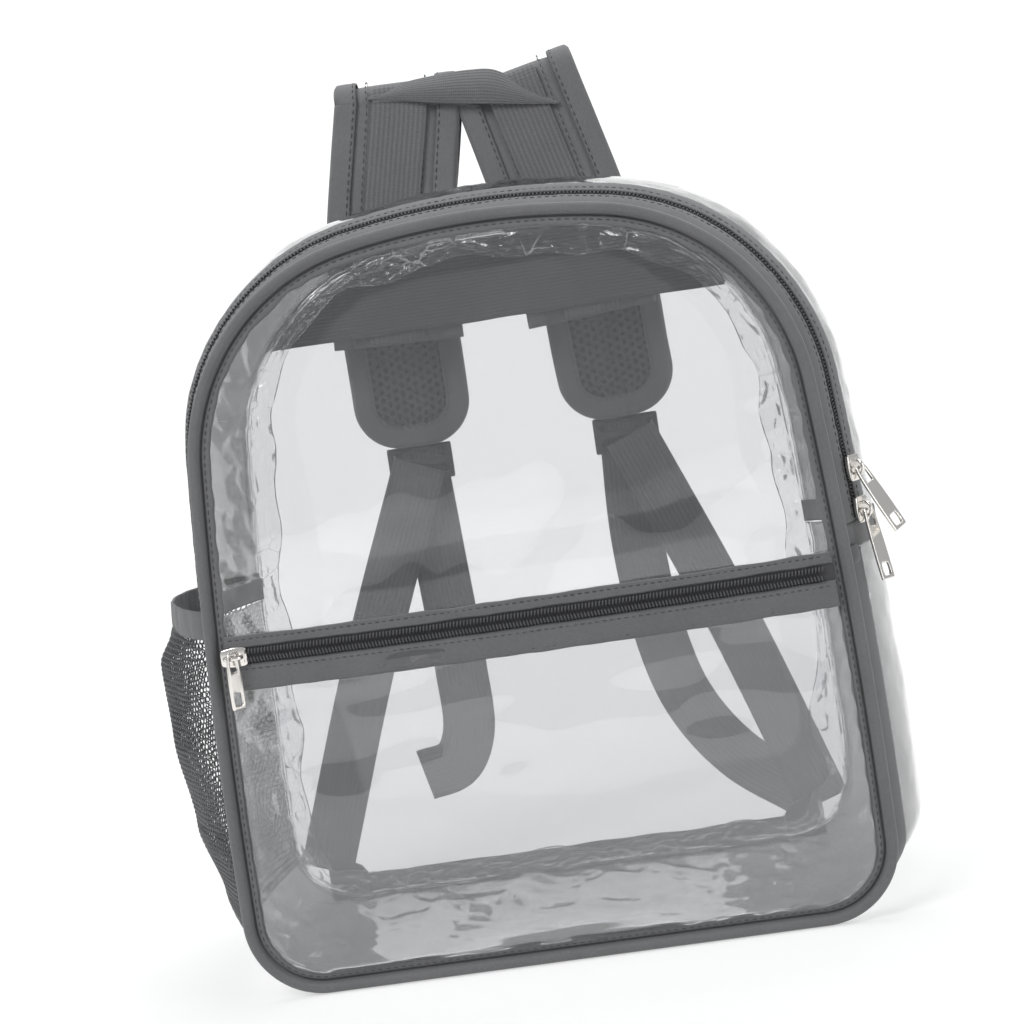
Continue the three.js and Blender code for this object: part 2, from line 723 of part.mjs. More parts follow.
function haulCrossing() {
  const last = HAUL_CROSSING.top.length - 1;
  const foldFront = behindBag({ ...STRAP_FOLD, across: 0 }).y - STRAP_FOLD.radius;
  const foot = HAUL_CROSSING.bottom[last].up;
  const rows = HAUL_CROSSING.top.map((top, i) => {
    const bottom = HAUL_CROSSING.bottom[i];
    const bow = HAUL.bow * Math.sin((Math.PI * i) / last);
    const place = ({ across, up }, depth) => {
      const y = foldFront - HAUL.standOff - bow + HAUL.lean * (up - foot) * BAG.height;
      return new THREE.Vector3(across * STRAP.topWidth, y + depth, up * BAG.height);
    };
    return [place(bottom, 0), place(top, 0), place(top, HAUL.thickness), place(bottom, HAUL.thickness)];
  });
  return loft(rows);
}

// Adjusters, lower webbing and tails.

function adjuster(end) {
  const { width, height, thickness, bar, slotHeight, slotCorner, corner } = ADJUSTER;
  const shape = roundedShape(width, height, corner);
  for (const side of [-1, 1]) {
    const slot = roundedShape(width - 2 * bar, slotHeight, slotCorner).getPoints(2);
    const rise = side * (height / 2 - bar / 2 - slotHeight / 2);
    shape.holes.push(new THREE.Path(slot.map((p) => new THREE.Vector2(p.x, p.y + rise))));
  }
  const geometry = plate(shape, thickness);
  geometry.rotateX(Math.PI / 2);
  geometry.translate(end.x, end.y + thickness / 2, end.z - ADJUSTER.drop - height / 2);
  return geometry;
}

// Webbing along a path, its width kept level with the front of the bag.
function ribbon(path, count) {
  const curve = new THREE.CatmullRomCurve3(path.map(vector), false, "centripetal");
  const rows = steps(0, 1, count).map((share) => {
    const tangent = curve.getTangentAt(share);
    const outward = new THREE.Vector3(0, 1, 0).addScaledVector(tangent, -tangent.y).normalize();
    const side = new THREE.Vector3().crossVectors(tangent, outward);
    const [reach, half] = [RIBBON.width / 2, RIBBON.thickness / 2];
    return [[-reach, -half], [reach, -half], [reach, half], [-reach, half]].map(([across, lift]) =>
      curve.getPointAt(share).addScaledVector(side, across).addScaledVector(outward, lift),
    );
  });
  return loft(rows);
}

// The outer edge of an anchor tab, and where the middle of its webbing ends.
const anchorEdge = cornerCentre.x + ANCHOR.shortEdge;
const anchorMiddle = anchorEdge + ANCHOR.webbingOut;

// Points of the lower webbing of one side.
function lowerPath(side, sign) {
  const { start, rows } = LOWER_PATHS[side];
  const from = start * STRAP.topWidth;
  return rows.map(({ corner, behind, up }) => {
    const x = THREE.MathUtils.lerp(from, sign * anchorMiddle, corner);
    return { ...behindBag({ across: 0, behind, up }), x };
  });
}

function anchor(side) {
  const { width, height, thickness, shortEdge, tallEdge } = ANCHOR;
  const shape = new THREE.Shape([
    new THREE.Vector2(0, 0),
    new THREE.Vector2(-side * width, 0),
    new THREE.Vector2(-side * shortEdge, height),
    new THREE.Vector2(0, tallEdge),
  ]);
  const geometry = plate(shape, thickness);
  geometry.rotateX(Math.PI / 2);
  geometry.translate(side * anchorEdge, backCover + BACK_TAPE.thickness + GAP + thickness, GAP);
  return geometry;
}

// Sliders and pulls.

// Slider in its own frame: across the zip along X, travel along Y, away from the tape along Z.
function sliderBody(archLength) {
  const { width, length, plate: thickness, corner, archWidth, archHeight, bar } = SLIDER;
  const base = plate(roundedShape(width, length, corner), thickness);
  const [half, top] = [archLength / 2, thickness + archHeight];
  const profile = new THREE.Shape([
    new THREE.Vector2(-half, thickness - OVERLAP),
    new THREE.Vector2(-half + bar, thickness - OVERLAP),
    new THREE.Vector2(-half + bar, top - 2 * bar),
    new THREE.Vector2(-half + 2 * bar, top - bar),
    new THREE.Vector2(half - 2 * bar, top - bar),
    new THREE.Vector2(half - bar, top - 2 * bar),
    new THREE.Vector2(half - bar, thickness - OVERLAP),
    new THREE.Vector2(half, thickness - OVERLAP),
    new THREE.Vector2(half, top - bar),
    new THREE.Vector2(half - bar, top),
    new THREE.Vector2(-half + bar, top),
    new THREE.Vector2(-half, top - bar),
  ]);
  const arch = plate(profile, archWidth);
  arch.rotateX(Math.PI / 2).rotateZ(Math.PI / 2).translate(-archWidth / 2, 0, 0);
  return joined(base, arch);
}

// Pull in its own frame: the hinge line passes through the origin, the plate hangs towards -Y.
function pullPlate(length, width) {
  const { thickness, corner, neckWidth, eyeWidth, eyeLength, eyeCorner, rim } = PULL;
  const { slotWidth, slotHeight, slotInset, slotCorner } = PULL;
  const top = rim / 2;
  const shape = new THREE.Shape();
  shape.moveTo(-width / 2 + corner, -length + top);
  shape.lineTo(width / 2 - corner, -length + top);
  shape.lineTo(width / 2, -length + top + corner);
  shape.lineTo(width / 2, -eyeLength);
  shape.absarc(0, top - neckWidth / 2, neckWidth / 2, 0, Math.PI);
  shape.lineTo(-width / 2, -eyeLength);
  shape.lineTo(-width / 2, -length + top + corner);
  const eye = roundedShape(eyeWidth, eyeLength, eyeCorner).getPoints(3);
  shape.holes.push(new THREE.Path(eye.map((p) => new THREE.Vector2(p.x, p.y + top - rim - eyeLength / 2))));
  const slot = roundedShape(Math.min(slotWidth, width - 2 * slotInset), slotHeight, slotCorner).getPoints(2);
  const slotY = -length + top + slotInset + slotHeight / 2;
  shape.holes.push(new THREE.Path(slot.map((p) => new THREE.Vector2(p.x, p.y + slotY))));
  return plate(shape, thickness).translate(0, 0, -thickness / 2);
}

// Frame of a slider on the main zip: travel up the side, away from the tape outwards and forwards.
function mainSliderFrame(z) {
  const angle = sideAngle(z);
  const y = THREE.MathUtils.lerp(...zipEdges.coil, 0.5);
  const station = { centre: sideCentre, radius: OUTLINE.sideRadius, angle };
  const probe = 1;
  const slope = (gussetOffset(angle, y + probe) - gussetOffset(angle, y - probe)) / (2 * probe);
  const facing = Math.atan(slope) + rad(SLIDER_PLACES.turn);
  const outward = new THREE.Vector3(Math.cos(facing), -Math.sin(facing), 0);
  const travel = new THREE.Vector3(-Math.sin(angle), 0, Math.cos(angle));
  travel.addScaledVector(outward, -travel.dot(outward)).normalize();
  const across = new THREE.Vector3().crossVectors(travel, outward);
  const edgeDrop = (SLIDER.width / 2) * Math.sin(rad(SLIDER_PLACES.turn));
  const lift = MAIN_ZIP.lift + SLIDER_PLACES.mainFloat + edgeDrop;
  const origin = outlinePoint(station, gussetOffset(angle, y), y).addScaledVector(outward, lift);
  return new THREE.Matrix4().makeBasis(across, travel, outward).setPosition(origin);
}

function pocketSliderFrame() {
  const z = (POCKET.zipLow + POCKET.zipHigh) / 2;
  const x = SLIDER_PLACES.pocketInset - halfWidth;
  const y = pocketLayer(x, z) - POCKET.coilLift - SLIDER_PLACES.pocketFloat;
  const basis = new THREE.Matrix4().makeBasis(
    new THREE.Vector3(0, 0, -1), new THREE.Vector3(1, 0, 0), new THREE.Vector3(0, -1, 0),
  );
  return basis.setPosition(new THREE.Vector3(x, y, z));
}

const barLow = SLIDER.plate + SLIDER.archHeight - SLIDER.bar;
const barHeight = barLow + SLIDER.bar / 2;
const rimReach = Math.hypot(PULL.thickness, PULL.rim) / 2;
const hingeHeight = barLow - GAP - rimReach;

// Pull of a main slider: its eye hangs under the arch and the plate leans away from the tape.
function mainPull(frame, splay, lean) {
  const geometry = pullPlate(PULL.length, PULL.width);
  geometry.rotateX(-rad(lean)).rotateZ(rad(splay)).translate(0, 0, hingeHeight);
  return geometry.applyMatrix4(frame);
}

// Pull of the pocket slider: it hangs straight down from the arch, turned about the upright.
function pocketPull(frame) {
  const centre = new THREE.Vector3(0, 0, barHeight).applyMatrix4(frame);
  const geometry = pullPlate(POCKET_PULL.length, POCKET_PULL.width);
  geometry.rotateX(Math.PI / 2).rotateZ(rad(POCKET_PULL.turn));
  const rise = Math.hypot(SLIDER.bar, SLIDER.archWidth) / 2 + GAP + PULL.rim / 2;
  return geometry.translate(centre.x, centre.y, centre.z + rise);
}

// Assembly.

const group = new THREE.Group();
group.name = "clear_stadium_backpack";

function piece(name, geometry, finish) {
  const { color, roughness, metalness, opacity } = FINISHES[finish];
  const material = new THREE.MeshStandardMaterial({
    color, roughness, metalness, opacity, transparent: opacity < 1,
  });
  const mesh = new THREE.Mesh(geometry, material);
  mesh.name = name;
  group.add(mesh);
}

function marker(name, position) {
  const point = new THREE.Object3D();
  point.name = name;
  point.position.copy(position);
  group.add(point);
}

// A main pull's hinge point, and a point one unit along its axis; a positive turn swings the pull outwards.
function markHinge(name, frame, splay) {
  const axis = new THREE.Vector3(-Math.cos(rad(splay)), -Math.sin(rad(splay)), hingeHeight);
  marker("hinge_" + name, new THREE.Vector3(0, 0, hingeHeight).applyMatrix4(frame));
  marker("axis_" + name, axis.applyMatrix4(frame));
}

function addFront() {
  const frontHeights = easedHeights(panelLow, panelHigh, PANEL.rows);
  const front = { inset: panelInset, columns: PANEL.columns, thickness: FILM.thickness };
  piece("front_panel", crossPanel({ ...front, heights: frontHeights, depthAt: frontPanelDepth }), "film");
  piece("front_binding", bindingRing(), "tape");
  const pocketHeights = easedHeights(panelLow, POCKET.trimLow, PANEL.rows / 2);
  piece("pocket_panel", crossPanel({ ...front, heights: pocketHeights, depthAt: pocketDepth }), "film");
  piece("pocket_trim_lower", pocketBand(POCKET.trimLow + GAP, POCKET.zipLow), "tape");
  piece("pocket_zip_coil", pocketBand(POCKET.zipLow + GAP, POCKET.zipHigh, POCKET.coilLift), "coil");
  piece("pocket_trim_upper", pocketBand(POCKET.zipHigh + GAP, POCKET.trimHigh), "tape");
}

function addGusset() {
  const { tapeThickness, coilThickness, lift } = MAIN_ZIP;
  piece("zip_tape_front", gussetStrip(upperRun, zipEdges.tape, SPANS.zipTape, tapeThickness), "tape");
  piece("zip_coil", gussetStrip(upperRun, zipEdges.coil, SPANS.zipCoil, coilThickness, lift), "coil");
  piece("zip_tape_back", gussetStrip(upperRun, zipEdges.back, SPANS.zipTape, tapeThickness), "tape");
  piece("upper_gusset", gussetStrip(upperRun, zipEdges.film, SPANS.upperFilm, FILM.thickness), "film");
  const lowerFilm = gussetStrip(lowerRun, [gussetFront, gussetBack], SPANS.lowerFilm, FILM.thickness);
  piece("lower_gusset", lowerFilm, "film");
  piece("gusset_front_strip", frontStrip(), "tape");
  piece("side_tape_left", sideTape(-1), "tape");
  piece("side_tape_right", sideTape(1), "tape");
}

function addBack() {
  const heights = easedHeights(0, BAG.height - RIM_TRIM, PANEL.rows);
  const panel = { heights, inset: 0, columns: 2, depthAt: flat(backSeam), thickness: FILM.thickness };
  piece("back_panel", crossPanel(panel), "film");
  const bandTop = BAG.height - BACK_BAND.belowTop;
  const band = {
    heights: steps(bandTop - BACK_BAND.width, bandTop, BACK_BAND.rows), inset: BACK_BAND.inset, columns: 2,
    depthAt: flat(backCover), thickness: BACK_BAND.thickness,
  };
  piece("back_band", crossPanel(band), "webbing");
  const tape = new THREE.BoxGeometry(BACK_TAPE.width, BACK_TAPE.thickness, BACK_TAPE.height);
  tape.translate(0, backCover + BACK_TAPE.thickness / 2, GAP + BACK_TAPE.height / 2);
  piece("back_bottom_tape", tape, "tape");
}

function addStraps() {
  for (const [side, strap] of Object.entries(straps)) {
    const sign = side === "left" ? -1 : 1;
    piece("strap_pad_" + side, strapCore(strap), "pad");
    piece("strap_mesh_" + side, strapFace(strap), "pad");
    piece("strap_binding_" + side, strapBinding(strap), "tape");
    piece("strap_webbing_" + side, strapWebbing(strap), "webbing");
    piece("adjuster_" + side, adjuster(strap.end), "plastic");
    piece("lower_webbing_" + side, ribbon(lowerPath(side, sign), SPANS.lowerWebbing), "webbing");
    piece("webbing_tail_" + side, ribbon(TAIL_PATHS[side].map(behindBag), SPANS.tail), "webbing");
    piece("anchor_tab_" + side, anchor(sign), "tape");
  }
  piece("haul_loop", haulLoop(), "webbing");
}

function addHardware() {
  const upper = mainSliderFrame(MAIN_ZIP.seamHeight + SLIDER_PLACES.upperRise);
  const lower = mainSliderFrame(MAIN_ZIP.seamHeight + SLIDER_PLACES.lowerRise);
  const pocket = pocketSliderFrame();
  piece("main_slider_upper", sliderBody(ARCH_LENGTH.main).applyMatrix4(upper), "metal");
  piece("main_slider_lower", sliderBody(ARCH_LENGTH.main).applyMatrix4(lower), "metal");
  piece("pocket_slider", sliderBody(ARCH_LENGTH.pocket).applyMatrix4(pocket), "metal");
  piece("main_pull_upper", mainPull(upper, PULL_SPLAY.upper, PULL_LEAN.upper), "metal");
  piece("main_pull_lower", mainPull(lower, PULL_SPLAY.lower, PULL_LEAN.lower), "metal");
  piece("pocket_pull", pocketPull(pocket), "metal");
  markHinge("main_upper", upper, PULL_SPLAY.upper);
  markHinge("main_lower", lower, PULL_SPLAY.lower);
  marker("hinge_pocket", new THREE.Vector3(0, 0, barHeight).applyMatrix4(pocket));
}

addFront();
addGusset();
addBack();
piece("mesh_pocket", netPocket(), "net");
piece("mesh_pocket_band", netBand(), "tape");
addStraps();
addHardware();

// The origin is the middle of the assembly's bounding box, on the ground.
const box = new THREE.Box3().setFromObject(group);
const centre = box.getCenter(new THREE.Vector3());
group.position.set(-centre.x, -centre.y, -box.min.z);

export default group;
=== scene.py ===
"""A clear stadium backpack: film panels, grey binding and tapes, zips, a net pocket and padded straps."""

import bisect
import logging
import math
from dataclasses import dataclass, field
from enum import Enum
from typing import Callable, Optional, Sequence

import bmesh
import bpy
from mathutils import Matrix, Vector, noise


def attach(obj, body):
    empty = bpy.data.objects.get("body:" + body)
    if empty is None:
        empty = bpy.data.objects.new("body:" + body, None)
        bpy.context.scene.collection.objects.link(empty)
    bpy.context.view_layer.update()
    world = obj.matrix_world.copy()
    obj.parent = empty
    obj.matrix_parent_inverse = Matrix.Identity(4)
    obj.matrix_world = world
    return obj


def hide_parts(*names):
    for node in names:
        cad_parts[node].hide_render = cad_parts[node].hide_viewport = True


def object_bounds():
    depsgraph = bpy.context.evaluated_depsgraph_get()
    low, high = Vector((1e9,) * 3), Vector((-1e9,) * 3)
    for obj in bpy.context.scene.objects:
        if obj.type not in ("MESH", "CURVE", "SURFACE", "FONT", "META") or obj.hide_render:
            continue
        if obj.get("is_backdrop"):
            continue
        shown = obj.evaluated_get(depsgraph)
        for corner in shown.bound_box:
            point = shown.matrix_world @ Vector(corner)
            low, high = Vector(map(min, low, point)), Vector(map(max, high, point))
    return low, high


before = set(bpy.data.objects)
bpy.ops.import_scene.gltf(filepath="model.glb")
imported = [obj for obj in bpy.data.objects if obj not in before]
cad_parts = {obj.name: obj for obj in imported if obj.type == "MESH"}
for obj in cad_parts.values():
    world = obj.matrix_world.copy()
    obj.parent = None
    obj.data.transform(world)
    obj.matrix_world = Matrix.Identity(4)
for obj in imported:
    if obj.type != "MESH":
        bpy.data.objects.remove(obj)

CAD_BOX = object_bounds()
LOG = logging.getLogger("backpack")

MM = 0.001
SHIFT = Vector((4.18, -10.89, 0.0))  # from the bag's own millimetres to the row frame
UV_UNIT = 10.0  # millimetres of material per unit of the UV map
SHARP = 0.8  # radians between faces from which an edge is rounded

Place = Callable[[float, float], Vector]
Socket = bpy.types.NodeSocket


def lerp(a: float, b: float, share: float) -> float:
    """Value at a share of the way from a to b."""
    return a + (b - a) * share


def clamp(value: float, low: float = 0.0, high: float = 1.0) -> float:
    """Value held between low and high."""
    return max(low, min(high, value))


def smooth(share: float) -> float:
    """Eased share, flat at both ends."""
    share = clamp(share)
    return share * share * (3 - 2 * share)


def edge_fade(share: float, width: float) -> float:
    """One inside a run of shares from 0 to 1, easing to zero within a width of each end."""
    return smooth(min(share, 1 - share) / width)


def table(rows: Sequence[tuple[float, float]], place: float) -> float:
    """Eased value of a table of place and value rows.

    Args:
        rows: the table's rows.
        place: where to read it.

    Returns:
        The value.
    """
    for (a, low), (b, high) in zip(rows, rows[1:]):
        if place <= b:
            return lerp(low, high, smooth((place - a) / (b - a)))
    return rows[-1][1]


def swell(u: float, v: float, seed: float) -> float:
    """Soft unevenness between about -1 and 1."""
    return 1.8 * noise.noise(Vector((u, v, seed)))


def facets(u: float, v: float, seed: float) -> float:
    """Flat cells that meet in sharp folds, between about -0.6 and 1."""
    near = noise.voronoi(Vector((u, v, seed)))[0]
    return (near[1] - near[0]) * 1.6 - 0.6


class Graph:
    """A material's node graph, built in a few lines."""

    def __init__(self, name: str) -> None:
        """Starts an empty material of that name.

        Args:
            name: its plain name.
        """
        self.material = bpy.data.materials.new(name)
        self.material.use_nodes = True
        self.tree = self.material.node_tree
        self.tree.nodes.clear()

    def node(self, kind: str, settings: Optional[dict] = None, **inputs) -> bpy.types.Node:
        """Adds a node.

        Args:
            kind: the node's type without its ShaderNode prefix.
            settings: properties of the node.
            inputs: values or sockets for its inputs, by name with underscores, or by place as in0, in1.

        Returns:
            The node.
        """
        made = self.tree.nodes.new("ShaderNode" + kind)
        for key, value in (settings or {}).items():
            setattr(made, key, value)
        for key, value in inputs.items():
            by_place = key.startswith("in") and key[2:].isdigit()
            socket = made.inputs[int(key[2:]) if by_place else key.replace("_", " ")]
            if isinstance(value, Socket):
                self.tree.links.new(value, socket)
            else:
                socket.default_value = value
        return made

    def math(self, operation: str, a: float | Socket, b: float | Socket = 0.0, c: float | Socket = 0.0) -> Socket:
        """Output of a Math node on up to three values."""
        return self.node("Math", {"operation": operation}, in0=a, in1=b, in2=c).outputs[0]

    def ramp(self, value: Socket, low: float, high: float) -> Socket:
        """Eased value from 0 at low to 1 at high."""
        settings = {"interpolation_type": "SMOOTHSTEP"}
        return self.node("MapRange", settings, Value=value, From_Min=low, From_Max=high).outputs[0]

    def wave(self, coordinate: Socket, pitch: float, phase: float = 0.0) -> Socket:
        """A sine from 0 to 1 along a UV coordinate, with a pitch in millimetres."""
        turns = self.math("MULTIPLY_ADD", coordinate, 2 * math.pi * UV_UNIT / pitch, phase)
        return self.math("MULTIPLY_ADD", self.math("SINE", turns), 0.5, 0.5)

    def uv(self) -> tuple[Socket, Socket]:
        """The two coordinates of the piece's UV map."""
        split = self.node("SeparateXYZ", in0=self.node("TexCoord").outputs["UV"])
        return split.outputs[0], split.outputs[1]

    def noise(self, scale: float, detail: float = 2.0) -> Socket:
        """Noise over the piece's own millimetres."""
        place = self.node("TexCoord").outputs["Object"]
        return self.node("TexNoise", Vector=place, Scale=scale, Detail=detail).outputs["Fac"]

    def crease_highlight_lines(self, scale: float, width: float, bend: Socket) -> Socket:
        """Thin lines between bent cells along crumpled film folds, from 0 to 1, used as the mask of a painted
        highlight.

        Args:
            scale: cells in a metre.
            width: share of a cell that a line takes.
            bend: noise that bends the cells.

        Returns:
            The socket.
        """
        place = self.node("TexCoord").outputs["Object"]
        bent = self.node("VectorMath", {"operation": "MULTIPLY_ADD"}, in0=bend, in1=(0.05, -0.04, 0.03), in2=place)
        lines = self.node("TexVoronoi", {"feature": "DISTANCE_TO_EDGE"}, Vector=bent.outputs[0], Scale=scale)
        thin = self.math("SUBTRACT", 1.0, self.ramp(lines.outputs["Distance"], 0.0, width))
        return self.math("MULTIPLY", thin, self.ramp(bend, 0.45, 0.65))

    def finish(self, shader: Socket) -> bpy.types.Material:
        """Links the shader to the surface and returns the material."""
        self.node("OutputMaterial", Surface=shader)
        return self.material


class Finish:
    """A finish, whose material is made once."""

    made: dict = {}

    def material(self) -> bpy.types.Material:
        """The material of this finish.

        Returns:
            The material.
        """
        if self not in Finish.made:
            Finish.made[self] = self.build()
        return Finish.made[self]

    def build(self) -> bpy.types.Material:
        """Builds the material."""
        raise NotImplementedError


@dataclass(frozen=True)
class FilmFinish(Finish):
    """Clear flexible film: see-through and glossy, and darker where it is seen edge on, with a painted highlight along
    crease lines when crease is set.
    """

    name: str = "clear film"
    tint: tuple = (0.932, 0.934, 0.937)
    edge_tint: tuple = (0.72, 0.72, 0.73)
    shadow: tuple = (0.9, 0.9, 0.9)
    haze: float = 0.008
    shine: float = 1.25
    roughness: float = 0.04
    ripple: float = 0.0005
    scale: float = 20.0
    # crease: strength of the painted highlight, a whitish veil mixed in along crease lines
    crease: float = 0.0
    cells: float = 45.0

    def build(self) -> bpy.types.Material:
        """Builds the material.

        Returns:
            The material.
        """
        g = Graph(self.name)
        folds = g.noise(self.scale, 1.0)
        bump = g.node("Bump", Strength=0.6, Distance=self.ripple, Height=folds).outputs[0]
        facing = g.node("LayerWeight", Blend=0.35, Normal=bump).outputs["Facing"]
        edge = g.math("POWER", facing, 2.4)
        tint = g.node("MixRGB", in0=edge, in1=(*self.tint, 1), in2=(*self.edge_tint, 1)).outputs[0]
        clear = g.node("BsdfTransparent", Color=tint).outputs[0]
        haze_and_highlight_veil = g.node("BsdfDiffuse", Color=(0.9, 0.91, 0.92, 1)).outputs[0]
        haze_and_crease_highlight = self.haze
        # painted highlight: the whitish veil is mixed in along crease lines, standing in for light caught on the folds
        if self.crease:
            haze_and_crease_highlight = g.math("MULTIPLY_ADD", g.crease_highlight_lines(self.cells, 0.024, folds), self.crease, self.haze)
        base = g.node("MixShader", in0=haze_and_crease_highlight, in1=clear, in2=haze_and_highlight_veil).outputs[0]
        gloss = g.node("BsdfGlossy", Color=(1, 1, 1, 1), Roughness=self.roughness, Normal=bump).outputs[0]
        mirror = g.node("Fresnel", IOR=1.5, Normal=bump).outputs[0]
        amount = g.math("MINIMUM", g.math("MULTIPLY", mirror, self.shine), 0.85)
        seen = g.node("MixShader", in0=amount, in1=base, in2=gloss).outputs[0]
        shade = g.node("BsdfTransparent", Color=(*self.shadow, 1)).outputs[0]
        path = g.node("LightPath").outputs["Is Shadow Ray"]
        return g.finish(g.node("MixShader", in0=path, in1=seen, in2=shade).outputs[0])


class Weave(Enum):
    """How a textile's threads run."""

    PLAIN = "plain"
    RIBBED = "ribbed"
    AIR_MESH = "air mesh"


@dataclass(frozen=True)
class ClothFinish(Finish):
    """A woven or knitted textile whose pattern follows the piece's UV map."""

    name: str
    color: tuple
    weave: Weave = Weave.PLAIN
    pitch: float = 0.6
    depth: float = 0.0001
    roughness: float = 0.82
    contrast: float = 0.3
    sheen: float = 0.2

    def pattern(self, g: Graph) -> Socket:
        """Height of the weave, from 0 to 1.

        Args:
            g: the material's graph.

        Returns:
            The socket.
        """
        across, along = g.uv()
        if self.weave is Weave.RIBBED:
            picks = g.wave(along, self.pitch * 0.45)
            return g.math("MULTIPLY_ADD", picks, 0.4, g.math("MULTIPLY", g.wave(across, self.pitch), 0.6))
        if self.weave is Weave.AIR_MESH:
            pitch = self.pitch * math.sqrt(3) / 2
            slant = g.math("MULTIPLY", along, math.sqrt(3) / 2)
            half = g.math("MULTIPLY", across, -0.5)
            rows = [across, g.math("ADD", half, slant), g.math("SUBTRACT", half, slant)]
            waves = [g.wave(row, pitch, math.pi / 2) for row in rows]
            total = g.math("ADD", g.math("ADD", waves[0], waves[1]), waves[2])
            return g.math("SUBTRACT", 1.0, g.ramp(total, 1.15, 2.1))
        warp, weft = g.wave(across, self.pitch), g.wave(along, self.pitch, math.pi / 2)
        return g.math("MULTIPLY", g.math("ADD", warp, weft), 0.5)

    def build(self) -> bpy.types.Material:
        """Builds the material.

        Returns:
            The material.
        """
        g = Graph(self.name)
        height = self.pattern(g)
        shade = g.math("MULTIPLY_ADD", height, self.contrast, 1 - self.contrast)
        mottled = g.math("MULTIPLY_ADD", g.noise(38.0, 3.0), 0.3, 0.85)
        speckle = g.math("MULTIPLY_ADD", g.noise(900.0), 0.3, 0.85)
        value = g.math("MULTIPLY", shade, g.math("MULTIPLY", mottled, speckle))
        tone = g.node("VectorMath", {"operation": "SCALE"}, in0=self.color, Scale=value).outputs[0]
        bump = g.node("Bump", Strength=0.9, Distance=self.depth, Height=height).outputs[0]
        shader = g.node(
            "BsdfPrincipled",
            Base_Color=tone,
            Roughness=self.roughness,
            Sheen_Weight=self.sheen,
            Sheen_Roughness=0.5,
            Normal=bump,
        )
        return g.finish(shader.outputs[0])


@dataclass(frozen=True)
class HardFinish(Finish):
    """Metal or moulded plastic with a faint unevenness."""

    name: str
    color: tuple
    metallic: float
    roughness: float

    def build(self) -> bpy.types.Material:
        """Builds the material.

        Returns:
            The material.
        """
        g = Graph(self.name)
        grain = g.noise(260.0, 3.0)
        rough = g.math("MULTIPLY_ADD", grain, 0.12, self.roughness - 0.05)
        bump = g.node("Bump", Strength=0.15, Distance=0.00005, Height=grain).outputs[0]
        color = (*self.color, 1)
        shader = g.node("BsdfPrincipled", Base_Color=color, Metallic=self.metallic, Roughness=rough, Normal=bump)
        return g.finish(shader.outputs[0])


@dataclass(frozen=True)
class PaperFinish(Finish):
    """Plain pale paper of the studio sweep."""

    name: str = "studio paper"
    color: tuple = (0.45, 0.45, 0.45)
    glow: float = 0.5

    def build(self) -> bpy.types.Material:
        """Builds the material.

        Returns:
            The material.
        """
        g = Graph(self.name)
        paper = g.node("BsdfDiffuse", Color=(*self.color, 1)).outputs[0]
        light = g.node("Emission", Strength=self.glow).outputs[0]
        return g.finish(g.node("AddShader", in0=paper, in1=light).outputs[0])


FILM = FilmFinish()
# the crease lines of this film carry a painted highlight, a whitish veil mixed in along them
CREASED_FILM = FilmFinish(
    "creased film", tint=(0.965, 0.967, 0.97), edge_tint=(0.88, 0.88, 0.89), haze=0.02, ripple=0.001, scale=34.0,
    crease=0.35, cells=62.0,
)
TAPE = ClothFinish("grey tape", (0.125, 0.126, 0.13), contrast=0.25)
BINDING_TAPE = ClothFinish("grey binding tape", (0.135, 0.136, 0.14), pitch=0.5, contrast=0.2)
WEBBING = ClothFinish("ribbed webbing", (0.135, 0.136, 0.14), Weave.RIBBED, pitch=2.2, depth=0.0003, contrast=0.4)
BAND = ClothFinish("ribbed band", (0.09, 0.091, 0.095), Weave.RIBBED, pitch=1.6, depth=0.0002, contrast=0.35)
PAD_COVER = ClothFinish("strap cover", (0.145, 0.146, 0.15), pitch=0.5, contrast=0.2)
AIR_MESH = ClothFinish("air mesh", (0.06, 0.061, 0.064), Weave.AIR_MESH, pitch=4.2, depth=0.001, contrast=0.85)
THREAD = ClothFinish("sewing thread", (0.05, 0.05, 0.052), pitch=0.4, contrast=0.1, sheen=0.1)
NET = ClothFinish("grey net", (0.1, 0.101, 0.105), pitch=0.4, contrast=0.1)
COIL = HardFinish("zip coil", (0.06, 0.06, 0.063), 0.0, 0.4)
COIL_TAPE = ClothFinish("zip tape", (0.05, 0.05, 0.053), pitch=0.5)
PLASTIC = HardFinish("dark plastic", (0.05, 0.05, 0.053), 0.0, 0.38)
METAL = HardFinish("plated metal", (0.86, 0.83, 0.79), 1.0, 0.16)


